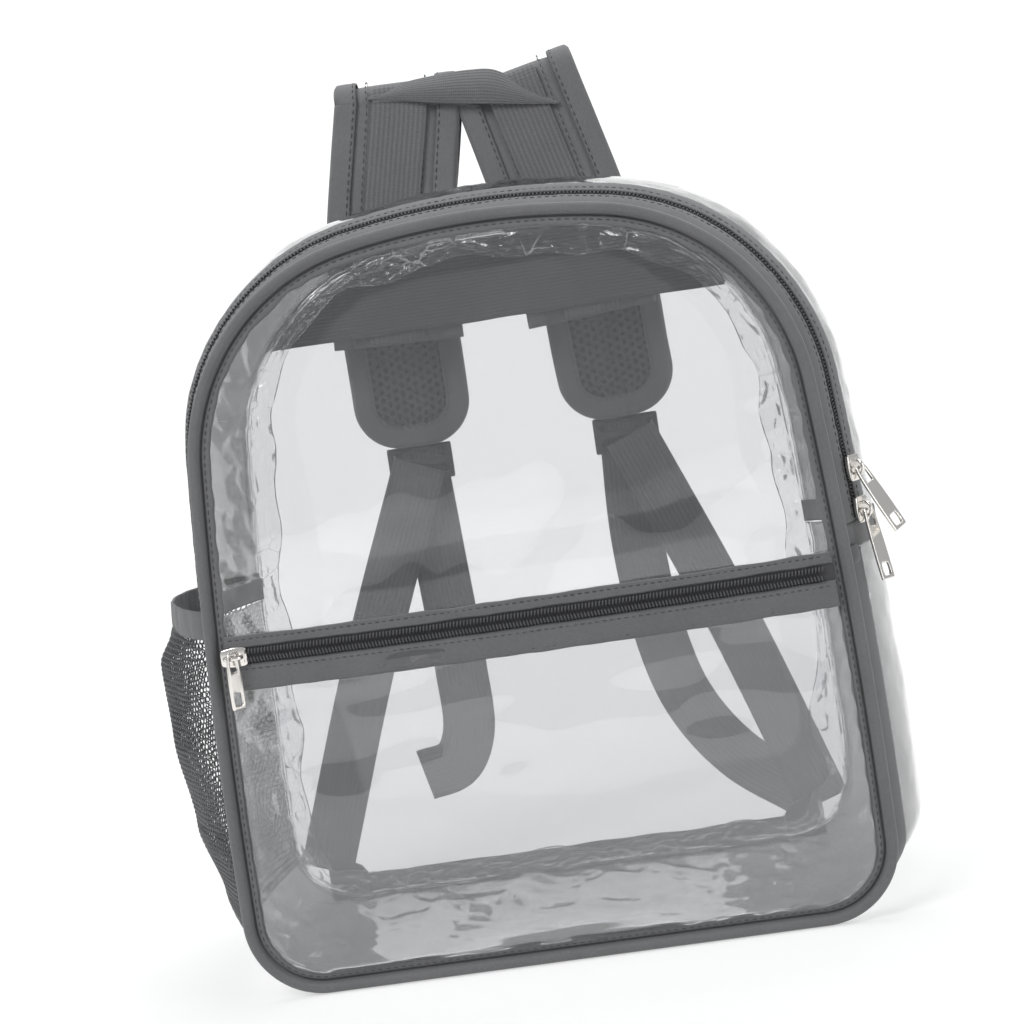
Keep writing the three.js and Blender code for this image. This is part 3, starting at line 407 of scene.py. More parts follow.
class Cloth:
    """Mesh steps that the soft pieces share, in the bag's millimetres."""

    @staticmethod
    def empty() -> bmesh.types.BMesh:
        """A mesh with nothing in it but its UV layer.

        Returns:
            The mesh.
        """
        bm = bmesh.new()
        bm.loops.layers.uv.new("UVMap")
        return bm

    @staticmethod
    def grid(
        across: int, along: int, place: Place, size: tuple[float, float], welded: bool = False
    ) -> bmesh.types.BMesh:
        """A grid of faces laid on a function of two shares.

        Args:
            across: faces along the first share.
            along: faces along the second share.
            place: the point for two shares from 0 to 1.
            size: width and length of the material, for the UV map.
            welded: whether edges of the grid meet and are merged.

        Returns:
            The mesh.
        """
        bm = Cloth.empty()
        uv = bm.loops.layers.uv.active
        bmesh.ops.create_grid(bm, x_segments=across, y_segments=along, size=0.5)
        for face in bm.faces:
            for loop in face.loops:
                u, v = loop.vert.co.x + 0.5, loop.vert.co.y + 0.5
                loop[uv].uv = (u * size[0] / UV_UNIT, v * size[1] / UV_UNIT)
        for vert in bm.verts:
            vert.co = place(clamp(vert.co.x + 0.5), clamp(vert.co.y + 0.5))
        if welded:
            bmesh.ops.remove_doubles(bm, verts=bm.verts, dist=0.002)
        return bm

    @staticmethod
    def join(target: bmesh.types.BMesh, other: bmesh.types.BMesh) -> None:
        """Adds another mesh to a mesh and frees it.

        Args:
            target: the mesh that grows.
            other: the mesh that is added.
        """
        spare = bpy.data.meshes.new("spare")
        other.to_mesh(spare)
        other.free()
        target.from_mesh(spare)
        bpy.data.meshes.remove(spare)

    @staticmethod
    def wall(bm: bmesh.types.BMesh, thickness: float) -> None:
        """Gives an open sheet its thickness in the mesh itself."""
        bmesh.ops.recalc_face_normals(bm, faces=bm.faces)
        bmesh.ops.solidify(bm, geom=bm.faces[:], thickness=thickness)

    @staticmethod
    def round_edges(bm: bmesh.types.BMesh, offset: float) -> None:
        """Bevels the sharp edges of a plate."""
        sharp = [edge for edge in bm.edges if edge.calc_face_angle(0) > SHARP]
        bmesh.ops.bevel(bm, geom=sharp, offset=offset, affect="EDGES", segments=1, profile=0.5, material=-1)

    @staticmethod
    def stitches(points: Sequence[Vector], lift: Vector, pitch: float = 3.4, radius: float = 0.28) -> bmesh.types.BMesh:
        """A line of stitches along points on the cloth.

        Args:
            points: the line that the needle follows.
            lift: how far and which way the thread stands off it.
            pitch: length of a stitch with its gap.
            radius: of the thread.

        Returns:
            The mesh of the thread's visible parts.
        """
        bm = Cloth.empty()
        line = Path(points, samples=1)
        for i in range(int(line.length / pitch)):
            start, end = line.at(i * pitch), line.at((i + 0.72) * pitch)
            along = end - start
            turn = along.to_track_quat("X", "Z").to_matrix().to_4x4()
            shape = Matrix.Diagonal((along.length / 2, radius, radius, 1))
            matrix = Matrix.Translation((start + end) / 2 + lift) @ turn @ shape
            bmesh.ops.create_icosphere(bm, subdivisions=1, radius=1, matrix=matrix)
        return bm


class Path:
    """A smooth line through points, measured by its length."""

    def __init__(self, points: Sequence[Vector], samples: int = 24) -> None:
        """Samples a centripetal curve through the points, as many times between two of them as asked.

        Args:
            points: what the line runs through.
            samples: points between two of them.
        """
        ends = [2 * points[0] - points[1], *points, 2 * points[-1] - points[-2]]
        self.dense = [points[0].copy()]
        for i in range(1, len(ends) - 2):
            for k in range(1, samples + 1):
                self.dense.append(self._between(ends[i - 1 : i + 3], k / samples))
        self.lengths = [0.0]
        for a, b in zip(self.dense, self.dense[1:]):
            self.lengths.append(self.lengths[-1] + (b - a).length)
        self.length = self.lengths[-1]

    @staticmethod
    def _between(four: Sequence[Vector], share: float) -> Vector:
        """Point of the curve between the middle two of four points.

        Args:
            four: the points.
            share: share of the way.

        Returns:
            The point.
        """
        knots = [0.0]
        for a, b in zip(four, four[1:]):
            knots.append(knots[-1] + max((b - a).length, 1e-6) ** 0.5)
        t = lerp(knots[1], knots[2], share)
        level = list(four)
        for width in (1, 2, 3):
            for i in range(len(level) - 1):
                low, high = (1, 2) if width == 3 else (i, i + width)
                part = (t - knots[low]) / (knots[high] - knots[low])
                level[i] = level[i].lerp(level[i + 1], part)
            level.pop()
        return level[0]

    def at(self, length: float) -> Vector:
        """The point at a length along the line.

        Args:
            length: millimetres along the line.

        Returns:
            The point.
        """
        length = clamp(length, 0.0, self.length)
        i = min(max(bisect.bisect_right(self.lengths, length) - 1, 0), len(self.dense) - 2)
        span = self.lengths[i + 1] - self.lengths[i]
        return self.dense[i].lerp(self.dense[i + 1], (length - self.lengths[i]) / max(span, 1e-9))

    def tangent(self, length: float) -> Vector:
        """Direction of the line at a length."""
        reach = 0.6
        return (self.at(length + reach) - self.at(length - reach)).normalized()


@dataclass
class Maker:
    """Turns meshes in the bag's millimetres into finished objects of the row frame."""

    made: list = field(default_factory=list)

    def add(
        self,
        name: str,
        bm: bmesh.types.BMesh,
        finish: Finish,
        slot: str,
        nodes: Sequence[str] = (),
        wall: float = 0.0,
        body: str = "bag",
        rounding: int = 0,
    ) -> bpy.types.Object:
        """Adds an object.

        Args:
            name: its plain name.
            bm: its mesh, which is freed.
            finish: what it is made of.
            slot: the record's material slot; not used.
            nodes: CAD nodes that it stands for.
            wall: thickness that a modifier gives it, or zero.
            body: the body that it moves with.
            rounding: levels of subdivision.

        Returns:
            The object.
        """
        for vert in bm.verts:
            vert.co = (vert.co + SHIFT) * MM
        for face in bm.faces:
            face.smooth = True
        mesh = bpy.data.meshes.new(name)
        bm.to_mesh(mesh)
        bm.free()
        obj = bpy.data.objects.new(name, mesh)
        bpy.context.scene.collection.objects.link(obj)
        mesh.materials.append(finish.material())
        if wall:
            shell = obj.modifiers.new("wall", "SOLIDIFY")
            shell.thickness = wall * MM
            shell.offset = 0.0
        if rounding:
            soft = obj.modifiers.new("rounding", "SUBSURF")
            soft.levels = soft.render_levels = rounding
        if nodes:
            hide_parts(*nodes)
        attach(obj, body)
        self.made.append(obj)
        LOG.info("%s: %d faces", name, len(mesh.polygons))
        return obj


@dataclass(frozen=True)
class Station:
    """A place on the outline: the centre and radius of its arc, and the angle of its normal."""

    x: float
    z: float
    radius: float
    angle: float

    def point(self, offset: float, y: float) -> Vector:
        """The point at an offset outwards, at a depth."""
        reach = self.radius + offset
        return Vector((self.x + reach * math.cos(self.angle), y, self.z + reach * math.sin(self.angle)))


@dataclass
class Outline:
    """The bag's D outline: bottom run, corners, leaning sides, shoulders and top, in tangent arcs."""

    height: float = 305.0
    width: float = 268.0
    corner: float = 32.0
    side: float = 2200.0
    shoulder: float = 90.0
    top: float = 300.0

    def __post_init__(self) -> None:
        """Works out the arcs' centres and the runs of the right half."""
        half = self.width / 2
        self.corner_at = (half - self.corner, self.corner)
        self.side_at = (half - self.side, self.corner)
        self.top_at = (0.0, self.height - self.top)
        self.shoulder_at = self._tangent_centre()
        self.side_end = self._join(self.side_at)
        self.shoulder_end = self._join(self.top_at)
        quarter = math.pi / 2
        self.arcs = [
            (self.corner_at, self.corner, -quarter, 0.0),
            (self.side_at, self.side, 0.0, self.side_end),
            (self.shoulder_at, self.shoulder, self.side_end, self.shoulder_end),
            (self.top_at, self.top, self.shoulder_end, quarter),
        ]
        self.run = self.corner_at[0]
        self.half_length = self.run + sum(radius * (end - start) for _, radius, start, end in self.arcs)

    def _join(self, centre: tuple[float, float]) -> float:
        """Angle from an arc's centre to the shoulder arc's centre."""
        return math.atan2(self.shoulder_at[1] - centre[1], self.shoulder_at[0] - centre[0])

    def _tangent_centre(self) -> tuple[float, float]:
        """Centre of the shoulder arc, which touches the top and side arcs from inside.

        Returns:
            The centre's two coordinates.
        """
        from_top, from_side = self.top - self.shoulder, self.side - self.shoulder
        dx, dz = self.side_at[0] - self.top_at[0], self.side_at[1] - self.top_at[1]
        distance = math.hypot(dx, dz)
        along = (from_top**2 - from_side**2 + distance**2) / (2 * distance)
        aside = math.sqrt(from_top**2 - along**2)
        x = self.top_at[0] + (along * dx + aside * dz) / distance
        return x, self.top_at[1] + (along * dz - aside * dx) / distance

    def at(self, length: float) -> Station:
        """The station at a length along the outline, rightwards from the middle of the bottom; left is negative.

        Args:
            length: millimetres along the outline.

        Returns:
            The station.
        """
        rest = min(abs(length), self.half_length)
        if rest <= self.run:
            found = Station(rest, self.corner, self.corner, -math.pi / 2)
        else:
            rest -= self.run
            for centre, radius, start, end in self.arcs:
                run = radius * (end - start)
                if rest <= run or centre is self.top_at:
                    found = Station(*centre, radius, lerp(start, end, clamp(rest / run)))
                    break
                rest -= run
        if length < 0:
            found = Station(-found.x, found.z, found.radius, math.pi - found.angle)
        return found

    def length_at(self, height: float) -> float:
        """Length along the outline to a height on the corner or the side.

        Args:
            height: millimetres above the ground.

        Returns:
            The value.
        """
        if height < self.corner:
            return self.run + self.corner * (math.pi / 2 - math.asin((self.corner - height) / self.corner))
        rise = math.asin((height - self.corner) / self.side)
        return self.run + self.corner * math.pi / 2 + self.side * rise

    def half_width(self, z: float, inset: float) -> float:
        """Half the width at a height, moved in by an inset.

        Args:
            z: height.
            inset: how far in from the edge.

        Returns:
            The value.
        """
        if z < self.corner:
            reach = self.corner - inset
            return self.corner_at[0] + math.sqrt(max(0.0, reach**2 - (self.corner - z) ** 2))
        for centre, radius, _, end in self.arcs[1:]:
            reach = radius - inset
            if z <= centre[1] + reach * math.sin(end) or centre is self.top_at:
                return centre[0] + math.sqrt(max(0.0, reach**2 - (z - centre[1]) ** 2))
        return 0.0


OUTLINE = Outline()
FRONT, BACK = -65.0, 65.0
RING_BACK = FRONT + 2.25
GUSSET_FRONT, GUSSET_BACK = RING_BACK + 0.3, BACK - 0.3
PANEL_INSET = 9.0
SEAM_HEIGHT = 160.0
LOWER_TOP = SEAM_HEIGHT - 10.6
TAPE_FROM, COIL_FROM, BACK_FROM, FILM_FROM = -62.45, -51.15, -45.85, -36.05
BULGES = ((-180, 10), (-135, 4), (-90, -0.5), (-45, 4), (0, 20), (45, 18), (90, 15), (150, 13), (180, 10))


def gusset_bulge(angle: float) -> float:
    """How far the gusset bulges past the seam where the outline faces that angle."""
    degrees = math.degrees(angle)
    return table(BULGES, degrees - 360 if degrees > 180 else degrees)


def gusset_offset(angle: float, y: float) -> float:
    """Offset of the gusset's outer face from the outline at a depth."""
    share = clamp((y - GUSSET_FRONT) / (GUSSET_BACK - GUSSET_FRONT))
    return -3.0 + (gusset_bulge(angle) + 3.0) * math.sin(math.pi * share) ** 0.85


def gusset_point(length: float, y: float, lift: float = 0.0) -> Vector:
    """A point on the gusset at a length along the outline."""
    station = OUTLINE.at(length)
    return station.point(gusset_offset(station.angle, y) + lift, y)


def full_round(share: float) -> float:
    """Length along the outline for a share of its whole round, from the top by the left and the bottom."""
    return lerp(-OUTLINE.half_length, OUTLINE.half_length, share)


def front_depth(x: float, z: float) -> float:
    """Depth of the front panel's outer face.

    Args:
        x: place across the bag.
        z: height.

    Returns:
        The value.
    """
    half = max(OUTLINE.half_width(z, PANEL_INSET), 0.1)
    low, high = PANEL_INSET, OUTLINE.height - PANEL_INSET
    aside = 1 - min(1.0, abs(x / half)) ** 2.4
    upright = 1 - abs(2 * clamp((z - low) / (high - low)) - 1) ** 2.4
    return FRONT + 1.1 - 8.0 * aside * upright


@dataclass
class FrontPanel:
    """The clear front panel, its piped binding, and the sewn margin inside it."""

    inset: float = 9.0
    section: tuple = (
        (0.0, 0.05), (-0.1, 0.5), (-0.6, 0.82), (-1.4, 0.97), (-2.4, 1.0), (-3.4, 0.93), (-4.2, 0.72),
        (-4.6, 0.3), (-4.9, 0.06), (-5.5, 0.05), (-5.9, 0.36), (-6.6, 0.44), (-8.2, 0.45), (-8.9, 0.36),
        (-9.1, 0.1), (-4.5, 0.02), (0.0, 0.05),
    )

    def film(self) -> bmesh.types.BMesh:
        """The panel's sheet, with soft swells and a few hard folds near its seam.

        Returns:
            The mesh.
        """

        def place(u: float, v: float) -> Vector:
            """Point of the sheet.

            Args:
                u: first share of the grid.
                v: second share of the grid.

            Returns:
                The point.
            """
            low, high = self.inset - 2, OUTLINE.height - self.inset + 2
            z = low + (high - low) * (1 - math.cos(math.pi * v)) / 2
            x = (2 * u - 1) * max(OUTLINE.half_width(z, self.inset - 2), 0.4)
            inside = edge_fade(u, 0.12) * edge_fade(v, 0.12)
            rise = 1.5 * swell(x / 62, z / 48, 2.0) + 0.5 * swell(x / 19, z / 30, 5.0)
            rim = (1 - inside) * edge_fade(u, 0.03) * edge_fade(v, 0.03)
            fold = 0.7 * facets(x / 17, z / 17, 3.0)
            return Vector((x, front_depth(x, z) + inside * rise + rim * fold, z))

        return Cloth.grid(120, 120, place, (268, 305))

    def binding(self) -> bmesh.types.BMesh:
        """The bead of piping and the flat margin beside it, all round the outline.

        Returns:
            The mesh.
        """
        rows = (len(self.section) - 1) * 3

        def place(u: float, v: float) -> Vector:
            """Point of the binding.

            Args:
                u: first share of the grid.
                v: second share of the grid.

            Returns:
                The point.
            """
            spot = (v % 1.0) * (len(self.section) - 1)
            i = int(spot)
            offset, depth = Vector(self.section[i]).lerp(Vector(self.section[i + 1]), spot - i)
            station = OUTLINE.at(full_round(u % 1.0))
            base = station.point(0, 0)
            wrinkle = swell(base.x / 9, base.z / 9, offset / 3)
            ragged = smooth((-offset - 7.5) / 1.5) * 0.5 * swell(base.x / 7, base.z / 7, 8.0)
            return station.point(offset + ragged, RING_BACK - 4.5 * depth - 0.1 * wrinkle * depth)

        bm = Cloth.grid(560, rows, place, (1000, 24), welded=True)
        bmesh.ops.recalc_face_normals(bm, faces=bm.faces)
        return bm

    def seam(self) -> bmesh.types.BMesh:
        """The line of stitches in the groove of the binding."""
        points = [OUTLINE.at(full_round(i / 400)).point(-6.9, RING_BACK - 2.05) for i in range(401)]
        return Cloth.stitches(points, Vector((0, -0.05, 0)), 3.2, 0.24)

    def build(self, maker: Maker) -> None:
        """Makes the pieces.

        Args:
            maker: makes the objects.
        """
        maker.add("front_film", self.film(), FILM, "film", ["front_panel"], wall=0.5)
        maker.add("front_piping", self.binding(), BINDING_TAPE, "tape", ["front_binding"])
        maker.add("front_piping_thread", self.seam(), THREAD, "tape")


@dataclass
class FrontPocket:
    """The flat pocket on the front: its clear sheet, two sewn trims and the zip between them."""

    trim_low: float = 129.0
    zip_low: float = 139.5
    zip_high: float = 146.5
    trim_high: float = 151.0
    pitch: float = 1.35

    def depth(self, x: float, z: float, lift: float = 0.0) -> float:
        """Depth of the pocket's layer over the front panel, which bellies out below the zip.

        Args:
            x: place across the bag.
            z: height.
            lift: how far off the surface.

        Returns:
            The value.
        """
        half = max(OUTLINE.half_width(z, PANEL_INSET), 0.1)
        aside = max(0.0, 1 - min(1.0, abs(x / half)) ** 2)
        height = clamp((z - PANEL_INSET) / (self.trim_low - PANEL_INSET))
        belly = aside * max(0.0, 1 - (2 * height - 1) ** 2)
        return front_depth(x, z) - 1.5 - 6.5 * belly - lift

    def film(self) -> bmesh.types.BMesh:
        """The clear sheet, pulled into long soft ripples under the zip.

        Returns:
            The mesh.
        """

        def place(u: float, v: float) -> Vector:
            """Point of the sheet.

            Args:
                u: first share of the grid.
                v: second share of the grid.

            Returns:
                The point.
            """
            low, high = PANEL_INSET - 1.5, self.zip_low - 1
            z = low + (high - low) * (1 - math.cos(math.pi * v)) / 2
            x = (2 * u - 1) * max(OUTLINE.half_width(z, PANEL_INSET - 1.5), 0.4)
            inside = edge_fade(u, 0.1) * edge_fade(v, 0.12)
            ripple = 0.8 * swell(x / 34, z / 15, 12.0) + 1.2 * swell(x / 70, z / 40, 15.0)
            rim = (1 - inside) * edge_fade(u, 0.02) * edge_fade(v, 0.03)
            fold = 0.8 * facets(x / 15, z / 13, 13.0)
            tuck = 1.0 - smooth(min(u, 1 - u) / 0.025) * smooth(v / 0.1)
            return Vector((x, self.depth(x, z) + inside * ripple + rim * fold + tuck, z))

        return Cloth.grid(120, 80, place, (268, 130))

    def strip(self, low: float, high: float, thick: float, roll: float) -> bmesh.types.BMesh:
        """A sewn strip across the front.

        Args:
            low: its lower edge.
            high: its upper edge.
            thick: how far it stands off the panel.
            roll: how much its folded edges swell.

        Returns:
            The strip's mesh.
        """

        def place(u: float, v: float) -> Vector:
            """Point of the strip.

            Args:
                u: first share of the grid.
                v: second share of the grid.

            Returns:
                The point.
            """
            z = lerp(low, high, v) + 0.25 * swell(u * 22, 0.0, 6.0 + low) * (1 - 2 * v)
            x = (2 * u - 1) * OUTLINE.half_width(z, PANEL_INSET - 0.5)
            rounded = math.sin(math.pi * clamp(v, 0.03, 0.97)) ** 0.25
            edge = math.exp(-((((v - 0.5) / 0.5) ** 2 - 0.55) ** 2) / 0.03)
            pucker = 0.12 * swell(x / 3.5, z / 4, 7.0)
            return Vector((x, self.depth(x, z, 0.3 + thick * rounded + roll * edge + pucker), z))

        return Cloth.grid(230, 14, place, (250, high - low))

    def coil(self) -> bmesh.types.BMesh:
        """Two rows of coil teeth along the middle of the zip.

        Returns:
            The mesh.
        """
        bm = Cloth.empty()
        middle = (self.zip_low + self.zip_high) / 2
        reach = OUTLINE.half_width(middle, PANEL_INSET + 3)
        count = int(2 * reach / self.pitch)
        for i in range(count):
            for side in (-1, 1):
                x = -reach + (i + 0.5 + 0.25 * side) * self.pitch
                z = middle + side * 1.75
                y = self.depth(x, z, 2.2)
                turn = Matrix.Rotation(math.radians(12 * side), 4, "Y")
                shape = Matrix.Diagonal((self.pitch * 0.36, 0.9, 1.5, 1))
                matrix = Matrix.Translation((x, y, z)) @ turn @ shape
                bmesh.ops.create_icosphere(bm, subdivisions=1, radius=1, matrix=matrix)
        return bm

    def threads(self) -> bmesh.types.BMesh:
        """The lines of stitches along both trims.

        Returns:
            The mesh.
        """
        bm = Cloth.empty()
        for z, thick in ((137.6, 1.75), (149.6, 1.6), (130.6, 1.6)):
            reach = OUTLINE.half_width(z, PANEL_INSET + 1)
            points = []
            for i in range(121):
                x = lerp(-reach, reach, i / 120)
                points.append(Vector((x, self.depth(x, z, thick), z)))
            Cloth.join(bm, Cloth.stitches(points, Vector((0, -0.1, 0)), 2.9, 0.3))
        return bm

    def build(self, maker: Maker) -> None:
        """Makes the pieces.

        Args:
            maker: makes the objects.
        """
        maker.add("pocket_film", self.film(), FILM, "film", ["pocket_panel"], wall=0.5)
        lower = self.strip(self.trim_low, self.zip_low, 1.1, 0.5)
        upper = self.strip(self.zip_high, self.trim_high, 1.1, 0.4)
        maker.add("pocket_trim_under", lower, TAPE, "tape", ["pocket_trim_lower"], wall=0.8)
        maker.add("pocket_trim_over", upper, TAPE, "tape", ["pocket_trim_upper"], wall=0.8)
        bed = self.strip(self.zip_low - 0.6, self.zip_high + 0.6, 0.4, 0.0)
        maker.add("pocket_zip_tape", bed, COIL_TAPE, "coil", ["pocket_zip_coil"], wall=0.6)
        maker.add("pocket_zip_teeth", self.coil(), COIL, "coil")
        maker.add("pocket_thread", self.threads(), THREAD, "tape")


@dataclass
class Gusset:
    """The band round the bag: zip over the top, clear film, the strip at the front and the side tapes."""

    pitch: float = 1.5
    crease: float = 3.2

    @property
    def upper_half(self) -> float:
        """Length from the cross seam to the top of the bag."""
        return OUTLINE.half_length - OUTLINE.length_at(SEAM_HEIGHT)

    def over_top(self, share: float) -> float:
        """Length along the outline for a share of the upper run, from the left seam to the right."""
        along = lerp(-self.upper_half, self.upper_half, share)
        return math.copysign(OUTLINE.half_length - abs(along), along if along else 1.0)

    def crumple(self, base: Vector, y: float) -> float:
        """How far the film stands off its smooth shape, with puckers that deepen towards the back seam.

        Args:
            base: the outline's own point there.
            y: depth.

        Returns:
            The value.
        """
        share = clamp((y - GUSSET_FRONT) / (GUSSET_BACK - GUSSET_FRONT))
        pull = 0.25 + 0.75 * smooth((share - 0.35) / 0.5)
        x, z = base.x + 0.35 * y, base.z + 0.35 * y
        folds = facets(x / 21, z / 21, 21 + y / 46) + 0.5 * facets(x / 9, z / 9, 27 + y / 24)
        soft = 0.5 * swell(base.x / 40, base.z / 40, 31 + y / 50)
        return edge_fade(share, 0.05) * pull * self.crease * (0.75 * folds + soft - 0.2)

    def film(self, length_of: Callable[[float], float], front: float, across: int, size: float) -> bmesh.types.BMesh:
        """A stretch of the clear film.

        Args:
            length_of: length along the outline for a share of the stretch.
            front: depth of its front edge.
            across: faces along it.
            size: its length.

        Returns:
            The mesh.
        """

        def place(u: float, v: float) -> Vector:
            """Point of the film.

            Args:
                u: first share of the grid.
                v: second share of the grid.

            Returns:
                The point.
            """
            y = lerp(front, GUSSET_BACK, v)
            length = length_of(u)
            lift = self.crumple(OUTLINE.at(length).point(0, 0), y) * edge_fade(min(v, 0.5), 0.08)
            return gusset_point(length, y, min(lift, 1.5) - 0.5)

        return Cloth.grid(across, 48, place, (size, GUSSET_BACK - front))

    def tape(self, y_from: float, y_to: float, lift: float, roll: float) -> bmesh.types.BMesh:
        """A tape of the main zip, over the top of the bag.

        Args:
            y_from: depth of its front edge.
            y_to: depth of its back edge.
            lift: how far off the surface.
            roll: how much its edges swell.

        Returns:
            The mesh.
        """

        def place(u: float, v: float) -> Vector:
            """Point of the tape.

            Args:
                u: first share of the grid.
                v: second share of the grid.

            Returns:
                The point.
            """
            length = self.over_top(u)
            rounded = math.sin(math.pi * clamp(v, 0.04, 0.96)) ** 0.3
            base = OUTLINE.at(length).point(0, 0)
            pucker = 0.12 * swell(base.x / 5, base.z / 5, 9 + v * 2)
            return gusset_point(length, lerp(y_from, y_to, v), lift + roll * rounded + pucker)

        return Cloth.grid(420, 10, place, (2 * self.upper_half, y_to - y_from))

    def coil(self) -> bmesh.types.BMesh:
        """Two rows of coil teeth along the main zip.

        Returns:
            The mesh.
        """
        bm = Cloth.empty()
        count = int(2 * self.upper_half / self.pitch)
        for i in range(count):
            for side in (-1, 1):
                length = self.over_top((i + 0.5 + 0.25 * side) / count)
                y = (COIL_FROM + BACK_FROM) / 2 - 0.15 + side * 1.15
                station = OUTLINE.at(length)
                centre = gusset_point(length, y, 0.55)
                basis = Matrix.Rotation(-station.angle, 4, "Y") @ Matrix.Diagonal((0.85, 1.15, self.pitch * 0.36, 1))
                bmesh.ops.create_icosphere(bm, subdivisions=1, radius=1, matrix=Matrix.Translation(centre) @ basis)
        return bm

    def strip(self) -> bmesh.types.BMesh:
        """The grey strip along the front edge of the right side, down round the corner.

        Returns:
            The mesh.
        """
        low = OUTLINE.run + OUTLINE.corner * (math.pi / 2 - math.radians(34))
        high = OUTLINE.length_at(LOWER_TOP)

        def place(u: float, v: float) -> Vector:
            """Point of the strip.

            Args:
                u: first share of the grid.
                v: second share of the grid.

            Returns:
                The point.
            """
            length = lerp(low, high, u)
            y = lerp(GUSSET_FRONT, GUSSET_FRONT + 10, v)
            rounded = math.sin(math.pi * clamp(v, 0.04, 0.96)) ** 0.3
            return gusset_point(length, y, 0.5 + 0.8 * rounded + 0.1 * swell(length / 6, v, 17.0))

        return Cloth.grid(110, 8, place, (high - low, 10))

    def side_tape(self, side: int) -> bmesh.types.BMesh:
        """The tape over the seam between the upper and lower film, on one side.

        Args:
            side: -1 for the left and 1 for the right.

        Returns:
            The mesh.
        """
        low, high = OUTLINE.length_at(LOWER_TOP + 0.3), OUTLINE.length_at(LOWER_TOP + 10.3)

        def place(u: float, v: float) -> Vector:
            """Point of the tape."""
            length, y = lerp(low, high, u), lerp(GUSSET_FRONT, GUSSET_BACK, v)
            return gusset_point(side * length, y, -0.3 + 0.25 * swell(y / 9, u, 19.0 + side))

        return Cloth.grid(8, 60, place, (10, 127))

    def threads(self) -> bmesh.types.BMesh:
        """Stitches along both tapes of the main zip.

        Returns:
            The mesh.
        """
        bm = Cloth.empty()
        for y in (-53.2, -43.4):
            points = [gusset_point(self.over_top(i / 260), y, 0.75) for i in range(261)]
            Cloth.join(bm, Cloth.stitches(points, Vector((0, -0.1, 0)), 3.0, 0.25))
        return bm

    def tack(self) -> bmesh.types.BMesh:
        """The small doubled end of tape at the foot of the main zip.

        Returns:
            The mesh.
        """

        def place(u: float, v: float) -> Vector:
            """Point of the doubled end.

            Args:
                u: first share of the grid.
                v: second share of the grid.

            Returns:
                The point.
            """
            length = OUTLINE.length_at(lerp(144, 151, u))
            rise = math.sin(math.pi * clamp(u, 0.02, 0.98)) * math.sin(math.pi * clamp(v, 0.02, 0.98))
            return gusset_point(length, lerp(-61.5, -55.5, v), 1.2 + 1.4 * rise**0.5)

        return Cloth.grid(12, 12, place, (7, 6))

    def build(self, maker: Maker) -> None:
        """Makes the pieces.

        Args:
            maker: makes the objects.
        """
        lower_half = OUTLINE.length_at(LOWER_TOP)
        upper = self.film(self.over_top, FILM_FROM, 300, 2 * self.upper_half)
        lower = self.film(lambda u: lerp(-lower_half, lower_half, u), GUSSET_FRONT, 300, 2 * lower_half)
        maker.add("gusset_film_over", upper, CREASED_FILM, "film", ["upper_gusset"], wall=0.5)
        maker.add("gusset_film_under", lower, CREASED_FILM, "film", ["lower_gusset"], wall=0.5)
        front = self.tape(TAPE_FROM, COIL_FROM + 0.5, -0.5, 0.9)
        back = self.tape(BACK_FROM - 0.5, FILM_FROM, -0.5, 0.9)
        bed = self.tape(COIL_FROM - 0.4, BACK_FROM + 0.4, -1.0, 0.5)
        maker.add("main_zip_tape_front", front, TAPE, "tape", ["zip_tape_front"], wall=0.8)
        maker.add("main_zip_tape_back", back, TAPE, "tape", ["zip_tape_back"], wall=0.8)
        maker.add("main_zip_tape_middle", bed, COIL_TAPE, "coil", ["zip_coil"], wall=0.6)
        maker.add("main_zip_teeth", self.coil(), COIL, "coil")
        maker.add("main_zip_thread", self.threads(), THREAD, "tape")
        maker.add("front_edge_strip", self.strip(), TAPE, "tape", ["gusset_front_strip"], wall=0.8)
        maker.add("zip_foot_tack", self.tack(), TAPE, "tape", wall=0.6)
        for side, name in ((-1, "left"), (1, "right")):
            maker.add("side_seam_" + name, self.side_tape(side), TAPE, "tape", ["side_tape_" + name], wall=0.8)


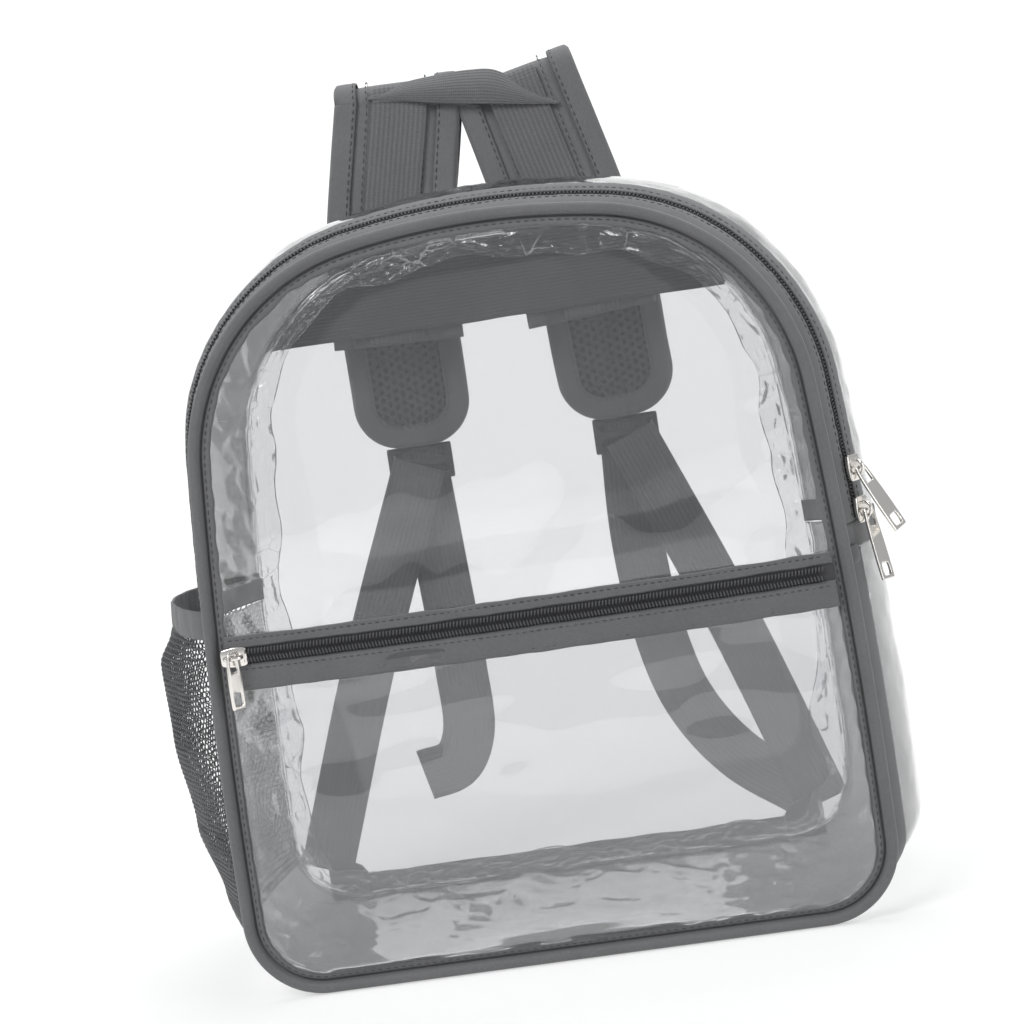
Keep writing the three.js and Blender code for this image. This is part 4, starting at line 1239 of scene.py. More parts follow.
@dataclass
class Back:
    """The clear back panel with its crumpled seam margin, the ribbed band and the bottom tape."""

    band_low: float = 263.0
    band_high: float = 301.0

    def film(self) -> bmesh.types.BMesh:
        """The back sheet, slack in the middle.

        Returns:
            The mesh.
        """

        def place(u: float, v: float) -> Vector:
            """Point of the sheet.

            Args:
                u: first share of the grid.
                v: second share of the grid.

            Returns:
                The point.
            """
            high = OUTLINE.height - 0.1
            z = high * (1 - math.cos(math.pi * v)) / 2
            x = (2 * u - 1) * max(OUTLINE.half_width(z, 0.0), 0.4)
            inside = edge_fade(u, 0.16) * edge_fade(v, 0.16)
            slack = 1.1 * swell(x / 55, z / 60, 41.0) - 0.8
            return Vector((x, BACK + 0.5 + 0.5 * inside * slack, z))

        return Cloth.grid(110, 120, place, (268, 305))

    def margin(self) -> bmesh.types.BMesh:
        """The ring of doubled film inside the back seam, gathered in hard folds.

        Returns:
            The mesh.
        """

        def place(u: float, v: float) -> Vector:
            """Point of the margin.

            Args:
                u: first share of the grid.
                v: second share of the grid.

            Returns:
                The point.
            """
            station = OUTLINE.at(full_round(u % 1.0))
            base = station.point(0, 0)
            reach = 10 + 4 * swell(base.x / 30, base.z / 30, 51.0)
            fold = facets(base.x / 16, base.z / 16, 53 + v * 1.3)
            fold += 0.5 * facets(base.x / 7, base.z / 7, 57 + v * 2)
            lift = 3.4 * edge_fade(min(v, 0.5), 0.12) * abs(fold + 0.5)
            return station.point(-3.2 - reach * v, GUSSET_BACK - 0.6 - lift - 2.5 * v)

        return Cloth.grid(620, 14, place, (1000, 12), welded=True)

    def band(self) -> bmesh.types.BMesh:
        """The wide ribbed band across the top of the back.

        Returns:
            The mesh.
        """

        def place(u: float, v: float) -> Vector:
            """Point of the band; its ribs run across the bag.

            Args:
                u: first share of the grid.
                v: second share of the grid.

            Returns:
                The point.
            """
            z = lerp(self.band_low, self.band_high, u) + 0.6 * swell(v * 6, u, 61.0) * (1 - u)
            x = (2 * v - 1) * OUTLINE.half_width(z, 1.0)
            return Vector((x, BACK + 1.9 + 0.25 * swell(v * 9, u * 2, 63.0), z))

        return Cloth.grid(24, 110, place, (38, 180))

    def bottom_tape(self) -> bmesh.types.BMesh:
        """The tape along the bottom edge of the back.

        Returns:
            The mesh.
        """

        def place(u: float, v: float) -> Vector:
            """Point of the tape.

            Args:
                u: first share of the grid.
                v: second share of the grid.

            Returns:
                The point.
            """
            x = lerp(-100, 100, v)
            z = 0.4 + 12 * u + 0.5 * swell(x / 22, u, 67.0) * u
            return Vector((x, BACK + 1.9 + 0.2 * swell(x / 14, u * 2, 69.0), z))

        return Cloth.grid(10, 100, place, (12, 200))

    def build(self, maker: Maker) -> None:
        """Makes the pieces.

        Args:
            maker: makes the objects.
        """
        maker.add("back_film", self.film(), FILM, "film", ["back_panel"], wall=0.5)
        maker.add("back_seam_margin", self.margin(), CREASED_FILM, "film", wall=0.4)
        maker.add("back_ribbed_band", self.band(), BAND, "webbing", ["back_band"], wall=1.0)
        maker.add("back_foot_tape", self.bottom_tape(), TAPE, "tape", ["back_bottom_tape"], wall=0.8)


@dataclass
class NetPocket:
    """The net pocket on the left side, with its gathered band."""

    low: float = 22.0
    high: float = 151.0
    cell: float = 2.5
    thread: float = 0.85
    standoff: tuple = ((0, 0.3), (0.12, 5), (0.35, 13), (0.65, 19), (0.88, 20), (1, 13))

    def point(self, z: float, y: float, off: float) -> Vector:
        """A point that stands off the left gusset film by a distance in the middle of its depth.

        Args:
            z: height.
            y: depth.
            off: distance off the film.

        Returns:
            The point.
        """
        station = OUTLINE.at(-OUTLINE.length_at(z))
        mid = max(0.0, math.sin(math.pi * (y - GUSSET_FRONT) / (GUSSET_BACK - GUSSET_FRONT)))
        return station.point(gusset_offset(station.angle, y) + 0.6 + off * mid**0.6, y)

    def net(self) -> bmesh.types.BMesh:
        """Knitted cells: a grid whose alternate edges are dissolved to hexagons and then opened.

        Returns:
            The mesh.
        """
        columns = 2 * int(150 / self.cell)
        rows = int((self.high - self.low) / (self.cell * 0.87))
        bm = Cloth.empty()
        bmesh.ops.create_grid(bm, x_segments=columns, y_segments=rows, size=0.5)
        spare = []
        for edge in bm.edges:
            a, b = edge.verts
            if abs(a.co.x - b.co.x) > 1e-6:
                continue
            column = round((a.co.x + 0.5) * columns)
            row = round((min(a.co.y, b.co.y) + 0.5) * rows)
            if (column + row) % 2 and 0 < column < columns:
                spare.append(edge)
        for vert in bm.verts:
            column = round((vert.co.x + 0.5) * columns)
            row = round((vert.co.y + 0.5) * rows)
            if 0 < row < rows:
                vert.co.y += (-0.17 if (column + row) % 2 else 0.17) / rows
        bmesh.ops.dissolve_edges(bm, edges=spare, use_verts=False)
        for vert in bm.verts:
            u, v = clamp(vert.co.x + 0.5), clamp(vert.co.y + 0.5)
            gather = 1.2 * swell(u * 5, v * 1.3, 71.0) + 0.5 * swell(u * 14, v * 3, 73.0)
            off = table(self.standoff, v) + gather * edge_fade(u, 0.1) * smooth(v * 3)
            y = lerp(GUSSET_FRONT, GUSSET_BACK, clamp(u + 0.01 * swell(v * 9, u * 3, 77.0) * edge_fade(u, 0.1)))
            vert.co = self.point(lerp(self.low, self.high, v), y, off)
        inner = bm.faces[:]
        bmesh.ops.inset_individual(bm, faces=inner, thickness=self.thread / 2, depth=0.0)
        bmesh.ops.delete(bm, geom=inner, context="FACES")
        return bm

    def band(self) -> bmesh.types.BMesh:
        """The elastic band at the mouth, gathered and folded over.

        Returns:
            The mesh.
        """

        def place(u: float, v: float) -> Vector:
            """Point of the band.

            Args:
                u: first share of the grid.
                v: second share of the grid.

            Returns:
                The point.
            """
            y = lerp(GUSSET_FRONT, GUSSET_BACK, v)
            z = lerp(self.high - 0.5, self.high + 11, u)
            gather = 0.35 * swell(y / 3.2, u * 0.7, 81.0) + 0.25 * swell(y / 8, 0.0, 83.0)
            roll = 0.7 * math.sin(math.pi * clamp(u, 0.05, 0.95)) ** 0.4
            return self.point(z, y, 12.5 + roll + gather * edge_fade(v, 0.05))

        return Cloth.grid(14, 150, place, (11.5, 150))

    def build(self, maker: Maker) -> None:
        """Makes the pieces."""
        maker.add("net_pocket", self.net(), NET, "net", ["mesh_pocket"], wall=0.35)
        maker.add("net_pocket_band", self.band(), TAPE, "tape", ["mesh_pocket_band"], wall=1.0)


@dataclass
class Strap:
    """One padded shoulder strap, folded over behind the bag, with its binding, webbing and stitches."""

    side: str
    fold_x: float
    rise: tuple
    fall: tuple
    top_width: float = 60.0
    lean: float = 0.0
    end_width: float = 54.0
    end_radius: float = 21.0
    core: float = 6.0
    fold_y: float = 86.5
    fold_z: float = 365.5
    fold_radius: float = 8.5

    def __post_init__(self) -> None:
        """Works out the centre line."""
        lean = math.radians(self.lean)
        self.axis, rise = Vector((math.cos(lean), 0, math.sin(lean))), Vector((-math.sin(lean), 0, math.cos(lean)))
        arc = []
        for i in range(9):
            turn = math.pi * (1 - i / 8)
            y, z = self.fold_radius * math.cos(turn), self.fold_radius * math.sin(turn)
            arc.append(Vector((self.fold_x, self.fold_y + y, self.fold_z)) + rise * z)
        self.line = Path([*map(Vector, self.rise), *arc, *map(Vector, self.fall)])
        self.length = self.line.length
        self.round_from = self.length - self.end_radius
        high = [share for share in range(401) if self.line.at(share / 400 * self.length).z >= self.fold_z]
        self.fold_from, self.fold_to = high[0] / 400 * self.length, high[-1] / 400 * self.length

    def place(self, along: float, across: float, lift: float) -> Vector:
        """A point by its length along the strap, offset across and lift towards the outer face.

        Args:
            along: millimetres along the strap.
            across: millimetres across it.
            lift: how far off the surface.

        Returns:
            The point.
        """
        tangent = self.line.tangent(clamp(along, 0.7, self.length - 0.7))
        side = (self.axis - tangent * tangent.dot(self.axis)).normalized()
        return self.line.at(along) + side * across + side.cross(tangent) * lift

    def full_width(self, along: float) -> float:
        """Width of the strap at a length."""
        return lerp(self.top_width, self.end_width, clamp(along / self.length))

    def half_width(self, along: float, inset: float) -> float:
        """Half the width at a length, moved in by an inset, with the end rounded off.

        Args:
            along: millimetres along the strap.
            inset: how far in from the edge.

        Returns:
            The value.
        """
        half, radius = self.full_width(along) / 2 - inset, self.end_radius - inset
        past = along - self.round_from
        return half if past <= 0 else half - radius + math.sqrt(max(0.0, radius**2 - past**2))

    def edge_point(self, share: float, inset: float, lift: float) -> Vector:
        """A point along the strap's edge, moved in by an inset, down one side and up the other.

        Args:
            share: share of the whole edge.
            inset: how far in from the edge.
            lift: how far off the surface.

        Returns:
            The point.
        """
        quarter = self.end_radius * math.pi / 2
        side = -1 if share < 0.5 else 1
        run = min(share, 1 - share) * 2 * (self.round_from + quarter)
        along = min(run, self.round_from)
        turn = max(0.0, (run - self.round_from) / quarter) * math.pi / 2
        pivot = self.full_width(along) / 2 - self.end_radius
        radius = self.end_radius - inset
        return self.place(along + radius * math.sin(turn), side * (pivot + radius * math.cos(turn)), lift)

    def pad(self) -> bmesh.types.BMesh:
        """The padded body, crowned between its bindings and creased where it folds.

        Returns:
            The mesh.
        """
        inset = 4.3

        def place(u: float, v: float) -> Vector:
            """Point of the closed pad.

            Args:
                u: first share of the grid.
                v: second share of the grid.

            Returns:
                The point.
            """
            radius = self.end_radius - inset
            along = lerp(0.0, self.round_from + radius, v)
            half = self.half_width(along, inset)
            end = math.sqrt(clamp(1 - ((along - self.round_from) / radius) ** 2)) if along > self.round_from else 1.0
            turn = 2 * math.pi * u
            c, s = math.cos(turn), math.sin(turn)
            across = half * math.copysign(abs(c) ** 0.45, c)
            crown = 0.9 * (1 - (across / max(half, 1)) ** 2) + 0.25 * swell(along / 14, across / 16, 91.0)
            fold = 1 - 0.35 * math.exp(-(((along - (self.fold_from + self.fold_to) / 2) / 16) ** 2))
            thick = (self.core / 2 * fold + crown * (0.6 if s > 0 else 0.25)) * lerp(0.55, 1, end)
            return self.place(along, across, math.copysign(abs(s) ** 0.55, s) * thick)

        bm = Cloth.grid(48, 150, place, (120, self.length), welded=True)
        rims = [edge for edge in bm.edges if edge.is_boundary]
        bmesh.ops.holes_fill(bm, edges=rims, sides=0)
        bmesh.ops.recalc_face_normals(bm, faces=bm.faces)
        return bm

    def air_mesh(self) -> bmesh.types.BMesh:
        """The spacer mesh on the body side.

        Returns:
            The mesh.
        """
        inset = 4.6

        def place(u: float, v: float) -> Vector:
            """Point of the mesh face.

            Args:
                u: first share of the grid.
                v: second share of the grid.

            Returns:
                The point.
            """
            along = lerp(0.0, self.round_from + self.end_radius - inset - 0.3, v)
            share = 2 * u - 1
            across = share * self.half_width(along, inset)
            return self.place(along, across, -3.9 - 0.45 * (1 - share**2) - 0.15 * swell(along / 9, u * 4, 93.0))

        return Cloth.grid(30, 120, place, (50, self.length))

    def binding(self) -> bmesh.types.BMesh:
        """The folded tape round the edge, over both faces.

        Returns:
            The mesh.
        """
        section = (
            (10.2, -4.55), (9.6, -4.75), (4, -4.75), (1.3, -4.5), (0.1, -2.8), (0, 0), (0.1, 2.8), (1.3, 4.2),
            (4, 4.35), (9.6, 4.3), (10.2, 4.1),
        )

        def place(u: float, v: float) -> Vector:
            """Point of the tape.

            Args:
                u: first share of the grid.
                v: second share of the grid.

            Returns:
                The point.
            """
            spot = u * (len(section) - 1)
            i = min(int(spot), len(section) - 2)
            inset, lift = Vector(section[i]).lerp(Vector(section[i + 1]), spot - i)
            waver = 0.3 * swell(v * 40, u * 2, 95.0) * (1 if inset > 5 else 0.35)
            return self.edge_point(v, inset + 0.3 * waver, lift + 0.25 * waver)

        return Cloth.grid(30, 300, place, (28, 2 * self.length))

    def webbing(self) -> bmesh.types.BMesh:
        """The webbing sewn along the outer face, from the fold down to the adjuster.

        Returns:
            The mesh.
        """
        start, end = self.fold_to + 4, self.length - 5.8

        def place(u: float, v: float) -> Vector:
            """Point of the webbing."""
            along = lerp(start, end, v)
            return self.place(along, (u - 0.5) * 25, 4.6 + 0.2 * swell(v * 9, u, 97.0))

        return Cloth.grid(12, 110, place, (25, end - start))

    def threads(self) -> bmesh.types.BMesh:
        """Stitches along the binding, beside it, and down the webbing.

        Returns:
            The mesh.
        """
        bm = Cloth.empty()
        none = Vector((0, 0, 0))
        for inset, lift in ((9.0, 4.75), (9.0, -5.1)):
            points = [self.edge_point(i / 300, inset, lift) for i in range(301)]
            Cloth.join(bm, Cloth.stitches(points, none, 3.6, 0.3))
        for across in (-13.8, 13.8):
            points = [self.place(lerp(2, self.fold_to, i / 150), across, 4.3) for i in range(151)]
            Cloth.join(bm, Cloth.stitches(points, none, 3.6, 0.3))
        box = ((-9, 26), (9, 26), (9, 10), (-9, 10), (-9, 26), (9, 10))
        points = [self.place(self.length - up, across, -5.05) for across, up in box]
        Cloth.join(bm, Cloth.stitches(points, none, 3.0, 0.35))
        return bm

    def build(self, maker: Maker) -> None:
        """Makes the pieces.

        Args:
            maker: makes the objects.
        """
        side = self.side
        pad = maker.add("pad_" + side, self.pad(), PAD_COVER, "pad", ["strap_pad_" + side])
        maker.add("air_mesh_" + side, self.air_mesh(), AIR_MESH, "pad", ["strap_mesh_" + side], wall=0.8)
        maker.add("edge_tape_" + side, self.binding(), BINDING_TAPE, "tape", ["strap_binding_" + side], wall=0.6)
        maker.add("sewn_webbing_" + side, self.webbing(), WEBBING, "webbing", ["strap_webbing_" + side], wall=1.2)
        maker.add("strap_thread_" + side, self.threads(), THREAD, "tape")


@dataclass
class HaulLoop:
    """The loop of webbing at the top: a leg on each strap and the part that crosses in front of both."""

    straps: Sequence[Strap]
    top: tuple = ((-44, 372.3), (-28, 376), (-11, 377.2), (4, 377.2), (15, 375.6), (29, 366), (42.5, 357))
    bottom: tuple = ((-44, 371), (-30, 368.5), (-14, 364.8), (2, 361.8), (15, 359.8), (28, 357.8), (42.5, 355.8))

    def leg(self, strap: Strap) -> bmesh.types.BMesh:
        """The webbing up the outer face of one strap.

        Args:
            strap: the strap that it lies on.

        Returns:
            The mesh.
        """
        end = lerp(strap.fold_from, strap.fold_to, 0.2)

        def place(u: float, v: float) -> Vector:
            """Point of the leg.

            Args:
                u: first share of the grid.
                v: second share of the grid.

            Returns:
                The point.
            """
            along = lerp(0.0, end, v)
            swing = 1.5 * smooth(v) * (1 if strap.fold_x < 0 else -1)
            edge = 0.35 * (1 - edge_fade(u, 0.08))
            return strap.place(along, (u - 0.5) * 25 + swing, 4.7 - edge + 0.3 * swell(v * 5, u * 2, 101.0))

        return Cloth.grid(24, 80, place, (25, end))

    def crossing(self) -> bmesh.types.BMesh:
        """The part across the front, twisted so that its far end shows its face.

        Returns:
            The mesh.
        """
        upper = Path([Vector((x, 0, z)) for x, z in self.top])
        lower = Path([Vector((x, 0, z)) for x, z in self.bottom])

        def place(u: float, v: float) -> Vector:
            """Point of the crossing.

            Args:
                u: first share of the grid.
                v: second share of the grid.

            Returns:
                The point.
            """
            low, high = lower.at(v * lower.length), upper.at(v * upper.length)
            point = low.lerp(high, u)
            bow = 3.2 * math.sin(math.pi * v) + 2.0 * math.sin(math.pi * u) * math.sin(math.pi * v)
            point.y = 72.2 - bow + 0.1 * (point.z - 355.5) + 4 * u * u
            return point

        return Cloth.grid(24, 110, place, (25, 92))

    def underside(self) -> bmesh.types.BMesh:
        """The turned-under edge below the left half of the crossing.

        Returns:
            The mesh.
        """

        def place(u: float, v: float) -> Vector:
            """Point of the underside.

            Args:
                u: first share of the grid.
                v: second share of the grid.

            Returns:
                The point.
            """
            x = lerp(-42, 6, v)
            sag = math.sin(math.pi * v)
            z = lerp(369.4, 360.6, v) - 1.6 * sag * u
            return Vector((x, 72.6 - 1.5 * sag + 6 * u, z + 2.0 * sag * (1 - u)))

        return Cloth.grid(8, 50, place, (8, 50))

    def build(self, maker: Maker) -> None:
        """Makes the pieces.

        Args:
            maker: makes the objects.
        """
        bm = self.crossing()
        for strap in self.straps:
            Cloth.join(bm, self.leg(strap))
        maker.add("haul_webbing", bm, WEBBING, "webbing", ["haul_loop"], wall=1.3)
        maker.add("haul_webbing_underside", self.underside(), WEBBING, "webbing", wall=1.0)


@dataclass
class Tether:
    """What hangs from one strap: the ladder lock, the lower webbing, its free tail and the anchor tab."""

    side: str
    lock: tuple
    lower: tuple
    tail: tuple
    width: float = 25.0

    def ribbon(self, points: Sequence[tuple], twist: float = 0.0) -> bmesh.types.BMesh:
        """Webbing along a path, its face kept towards the front.

        Args:
            points: the path.
            twist: degrees that it turns over its length.

        Returns:
            The mesh.
        """
        line = Path([Vector(point) for point in points])

        def place(u: float, v: float) -> Vector:
            """Point of the ribbon.

            Args:
                u: first share of the grid.
                v: second share of the grid.

            Returns:
                The point.
            """
            tangent = line.tangent(clamp(v * line.length, 0.7, line.length - 0.7))
            outward = (Vector((0, 1, 0)) - tangent * tangent.y).normalized()
            outward.rotate(Matrix.Rotation(math.radians(twist) * smooth(v), 3, tangent))
            across = tangent.cross(outward) * (u - 0.5) * self.width
            ripple = outward * 0.25 * swell(v * 7, u * 2, 111.0 + len(points))
            return line.at(v * line.length) + across + ripple

        return Cloth.grid(12, int(line.length / 2), place, (self.width, line.length))

    def hem(self, points: Sequence[tuple], back: float, span: float) -> list[Vector]:
        """Points of a stitch line across a ribbon, near its end.

        Args:
            points: what the line runs through.
            back: distance from the end.
            span: half its length.

        Returns:
            The points.
        """
        line = Path([Vector(point) for point in points])
        at = line.length - back
        tangent = line.tangent(at)
        outward = (Vector((0, 1, 0)) - tangent * tangent.y).normalized()
        across = tangent.cross(outward)
        return [line.at(at) + across * lerp(-span, span, i / 8) - outward for i in range(9)]

    def ladder_lock(self) -> bmesh.types.BMesh:
        """The three-bar lock: a grid with its two slots taken out, given thickness and rounded.

        Returns:
            The mesh.
        """
        columns, rows = (-15.5, -12.5, 12.5, 15.5), (-7.5, -6.0, -2.0, 2.0, 6.0, 7.5)
        bm = Cloth.empty()
        bmesh.ops.create_grid(bm, x_segments=3, y_segments=5, size=0.5)
        slots = []
        for face in bm.faces:
            centre = face.calc_center_median()
            if abs(centre.x) < 0.1 and 0.1 < abs(centre.y) < 0.3:
                slots.append(face)
        bmesh.ops.delete(bm, geom=slots, context="FACES")
        for vert in bm.verts:
            column, row = round((vert.co.x + 0.5) * 3), round((vert.co.y + 0.5) * 5)
            bend = 0.8 if row in (0, 5) else 0.0
            vert.co = Vector(self.lock) + Vector((columns[column], -bend, rows[row]))
        Cloth.wall(bm, 3.0)
        Cloth.round_edges(bm, 0.5)
        return bm

    def anchor(self) -> bmesh.types.BMesh:
        """The sewn tab that holds the lower webbing in the corner of the back.

        Returns:
            The mesh.
        """
        sign = -1 if self.side == "left" else 1

        def place(u: float, v: float) -> Vector:
            """Point of the tab.

            Args:
                u: first share of the grid.
                v: second share of the grid.

            Returns:
                The point.
            """
            x = sign * lerp(118.1, 92.2, u * lerp(1, 0.62, v))
            z = 0.6 + v * lerp(23.5, 15.5, u)
            return Vector((x, BACK + 3.9 + 0.2 * swell(u * 4, v * 4, 121.0), z))

        return Cloth.grid(14, 12, place, (26, 20))

    def build(self, maker: Maker) -> None:
        """Makes the pieces.

        Args:
            maker: makes the objects.
        """
        side = self.side
        lock = self.ladder_lock()
        maker.add("ladder_lock_" + side, lock, PLASTIC, "plastic", ["adjuster_" + side], rounding=2)
        lower = self.ribbon(self.lower)
        maker.add("anchor_webbing_" + side, lower, WEBBING, "webbing", ["lower_webbing_" + side], wall=1.3)
        length = Path([Vector(point) for point in self.tail]).length
        hem = Cloth.stitches(self.hem(self.tail, 6, 10), Vector((0, 0, 0)), 2.6, 0.3)
        free = self.ribbon(self.tail)
        tail = maker.add("free_tail_" + side, free, WEBBING, "webbing", ["webbing_tail_" + side], wall=1.3)
        thread = maker.add("tail_thread_" + side, hem, THREAD, "webbing")
        maker.add("corner_tab_" + side, self.anchor(), TAPE, "tape", ["anchor_tab_" + side], wall=1.2)


@dataclass
class Hardware:
    """Sliders and pulls, each modelled in its slider's own frame and then set on its zip."""

    width: float = 8.4
    length: float = 10.6
    plate: float = 2.2
    arch_height: float = 4.4
    bar: float = 1.3
    turn: float = 17.0

    @property
    def bar_low(self) -> float:
        """Height of the underside of the arch."""
        return self.plate + self.arch_height - self.bar

    @property
    def hinge_height(self) -> float:
        """Height of the hinge line of a main pull."""
        return self.bar_low - 0.3 - math.hypot(1.2, 1.3) / 2

    def main_frame(self, z: float) -> Matrix:
        """Frame of a slider on the main zip at a height: across, along the zip, and away from it.

        Args:
            z: height.

        Returns:
            The frame.
        """
        angle = math.asin((z - OUTLINE.corner) / OUTLINE.side)
        y = COIL_FROM + 2.5
        slope = (gusset_offset(angle, y + 1) - gusset_offset(angle, y - 1)) / 2
        facing = math.atan(slope) + math.radians(self.turn)
        outward = Vector((math.cos(facing), -math.sin(facing), 0))
        travel = Vector((-math.sin(angle), 0, math.cos(angle)))
        travel = (travel - outward * travel.dot(outward)).normalized()
        across = travel.cross(outward)
        lift = 0.6 + 0.9 + self.width / 2 * math.sin(math.radians(self.turn))
        station = Station(*OUTLINE.side_at, OUTLINE.side, angle)
        origin = station.point(gusset_offset(angle, y), y) + outward * lift
        return self.basis(across, travel, outward, origin)

    def pocket_frame(self) -> Matrix:
        """Frame of the slider on the pocket's zip.

        Returns:
            The frame.
        """
        z = 143.0
        y = front_depth(-119, z) - 1.5 - 0.8 - 0.75
        return self.basis(Vector((0, 0, -1)), Vector((1, 0, 0)), Vector((0, -1, 0)), Vector((-119, y, z)))

    @staticmethod
    def basis(x: Vector, y: Vector, z: Vector, origin: Vector) -> Matrix:
        """Matrix of three axes and an origin."""
        turned = Matrix((x, y, z)).transposed().to_4x4()
        return Matrix.Translation(origin) @ turned

    def slider(self, to_bag: Matrix, arch: float) -> bmesh.types.BMesh:
        """A slider: a waisted plate with a crown, and the arch that carries the pull.

        Args:
            to_bag: its frame.
            arch: length of the arch along the zip.

        Returns:
            The mesh in the bag's millimetres.
        """
        bm = Cloth.empty()
        bmesh.ops.create_cube(bm, size=1)
        bmesh.ops.subdivide_edges(bm, edges=bm.edges[:], cuts=3, use_grid_fill=True)
        for vert in bm.verts:
            x, y, z = vert.co * 2
            waist = 1 - 0.22 * (1 - smooth((y + 1) / 1.2)) - 0.12 * smooth(y)
            crown = 1 - 0.35 * (x * x + y * y) / 2
            vert.co = Vector((x * self.width / 2 * waist, y * self.length / 2, self.plate * (0.5 + 0.5 * z * crown)))
        loop = Cloth.empty()
        start = bmesh.ops.create_grid(loop, x_segments=1, y_segments=1, size=0.5)
        foot = 1.4
        for vert in start["verts"]:
            vert.co = Vector((vert.co.x * 1.7, vert.co.y * self.bar - arch / 2 + self.bar / 2, foot))
        axis = Vector((-1, 0, 0))
        centre = Vector((0, 0, foot))
        faces = loop.faces[:]
        bmesh.ops.spin(loop, geom=faces, cent=centre, axis=axis, angle=math.pi, steps=16, use_duplicate=False)
        tall = (self.plate + self.arch_height - foot) / (arch / 2)
        for vert in loop.verts:
            rise = vert.co.z - foot
            if rise > 0:
                vert.co.z = foot + (arch / 2) * clamp(rise / (arch / 2)) ** 0.6 * tall
        bmesh.ops.recalc_face_normals(loop, faces=loop.faces)
        Cloth.join(bm, loop)
        bmesh.ops.transform(bm, matrix=to_bag, verts=bm.verts)
        return bm

    def pull(self, to_bag: Matrix, length: float, width: float) -> bmesh.types.BMesh:
        """A pull plate: a grid with its eye and slot taken out, given thickness and rounded.

        Args:
            to_bag: its frame, with the hinge line through the origin and the plate towards -Y.
            length: of the plate.
            width: of the plate.

        Returns:
            The mesh in the bag's millimetres.
        """
        top, rim = 0.65, 1.3
        rows = [
            (top, 0.30), (top - rim, 0.40), (top - 3.6, 0.42), (top - 6.4 - rim, 0.46), (-length / 2, 0.5),
            (-length + top + 6.6, 0.5), (-length + top + 1.6, 0.5), (-length + top, 0.47),
        ]
        columns = (-1.0, -0.56, 0.56, 1.0)
        bm = Cloth.empty()
        bmesh.ops.create_grid(bm, x_segments=3, y_segments=len(rows) - 1, size=0.5)
        gone = []
        for face in bm.faces:
            centre = face.calc_center_median()
            row = int((0.5 - centre.y) * (len(rows) - 1))
            if abs(centre.x) < 0.1 and row in (1, 2, 5):
                gone.append(face)
        bmesh.ops.delete(bm, geom=gone, context="FACES")
        for vert in bm.verts:
            column = round((vert.co.x + 0.5) * 3)
            y, share = rows[round((0.5 - vert.co.y) * (len(rows) - 1))]
            vert.co = Vector((columns[column] * share * width, y, 0))
        Cloth.wall(bm, 1.2)
        bmesh.ops.translate(bm, vec=Vector((0, 0, -0.6 - min(v.co.z for v in bm.verts))), verts=bm.verts)
        Cloth.round_edges(bm, 0.22)
        bmesh.ops.transform(bm, matrix=to_bag, verts=bm.verts)
        return bm

    def main_pull_frame(self, z: float, splay: float, lean: float) -> Matrix:
        """Frame of the pull of a main slider.

        Args:
            z: height.
            splay: turn in the slider's plane, in degrees.
            lean: turn off that plane, in degrees.

        Returns:
            The frame.
        """
        tilt = Matrix.Rotation(-math.radians(lean), 4, "X")
        swing = Matrix.Rotation(math.radians(splay), 4, "Z")
        return self.main_frame(z) @ Matrix.Translation((0, 0, self.hinge_height)) @ swing @ tilt

    def pocket_pull_frame(self) -> Matrix:
        """Frame of the pocket's pull, which hangs straight down, turned about the upright.

        Returns:
            The frame.
        """
        centre = self.pocket_frame() @ Vector((0, 0, self.bar_low + self.bar / 2))
        rise = math.hypot(self.bar, 1.6) / 2 + 0.3 + 0.65
        hang = Matrix.Rotation(math.radians(50), 4, "Z") @ Matrix.Rotation(math.pi / 2, 4, "X")
        return Matrix.Translation(centre + Vector((0, 0, rise))) @ hang

    def build(self, maker: Maker) -> None:
        """Makes the pieces.

        Args:
            maker: makes the objects.
        """
        for name, z, splay, lean in (("upper", 181.0, 15.0, 20.0), ("lower", 164.0, -3.5, 12.0)):
            body = self.slider(self.main_frame(z), 7.0)
            maker.add("zip_slider_" + name, body, METAL, "metal", ["main_slider_" + name], rounding=2)
            plate = self.pull(self.main_pull_frame(z, splay, lean), 30.0, 8.0)
            node, rides = "main_pull_" + name, "pull_main_" + name
            maker.add("zip_pull_" + name, plate, METAL, "metal", [node], body=rides, rounding=2)
        body = self.slider(self.pocket_frame(), 8.8)
        maker.add("zip_slider_pocket", body, METAL, "metal", ["pocket_slider"], rounding=2)
        plate = self.pull(self.pocket_pull_frame(), 23.0, 7.0)
        maker.add("zip_pull_pocket", plate, METAL, "metal", ["pocket_pull"], body="pull_pocket", rounding=2)


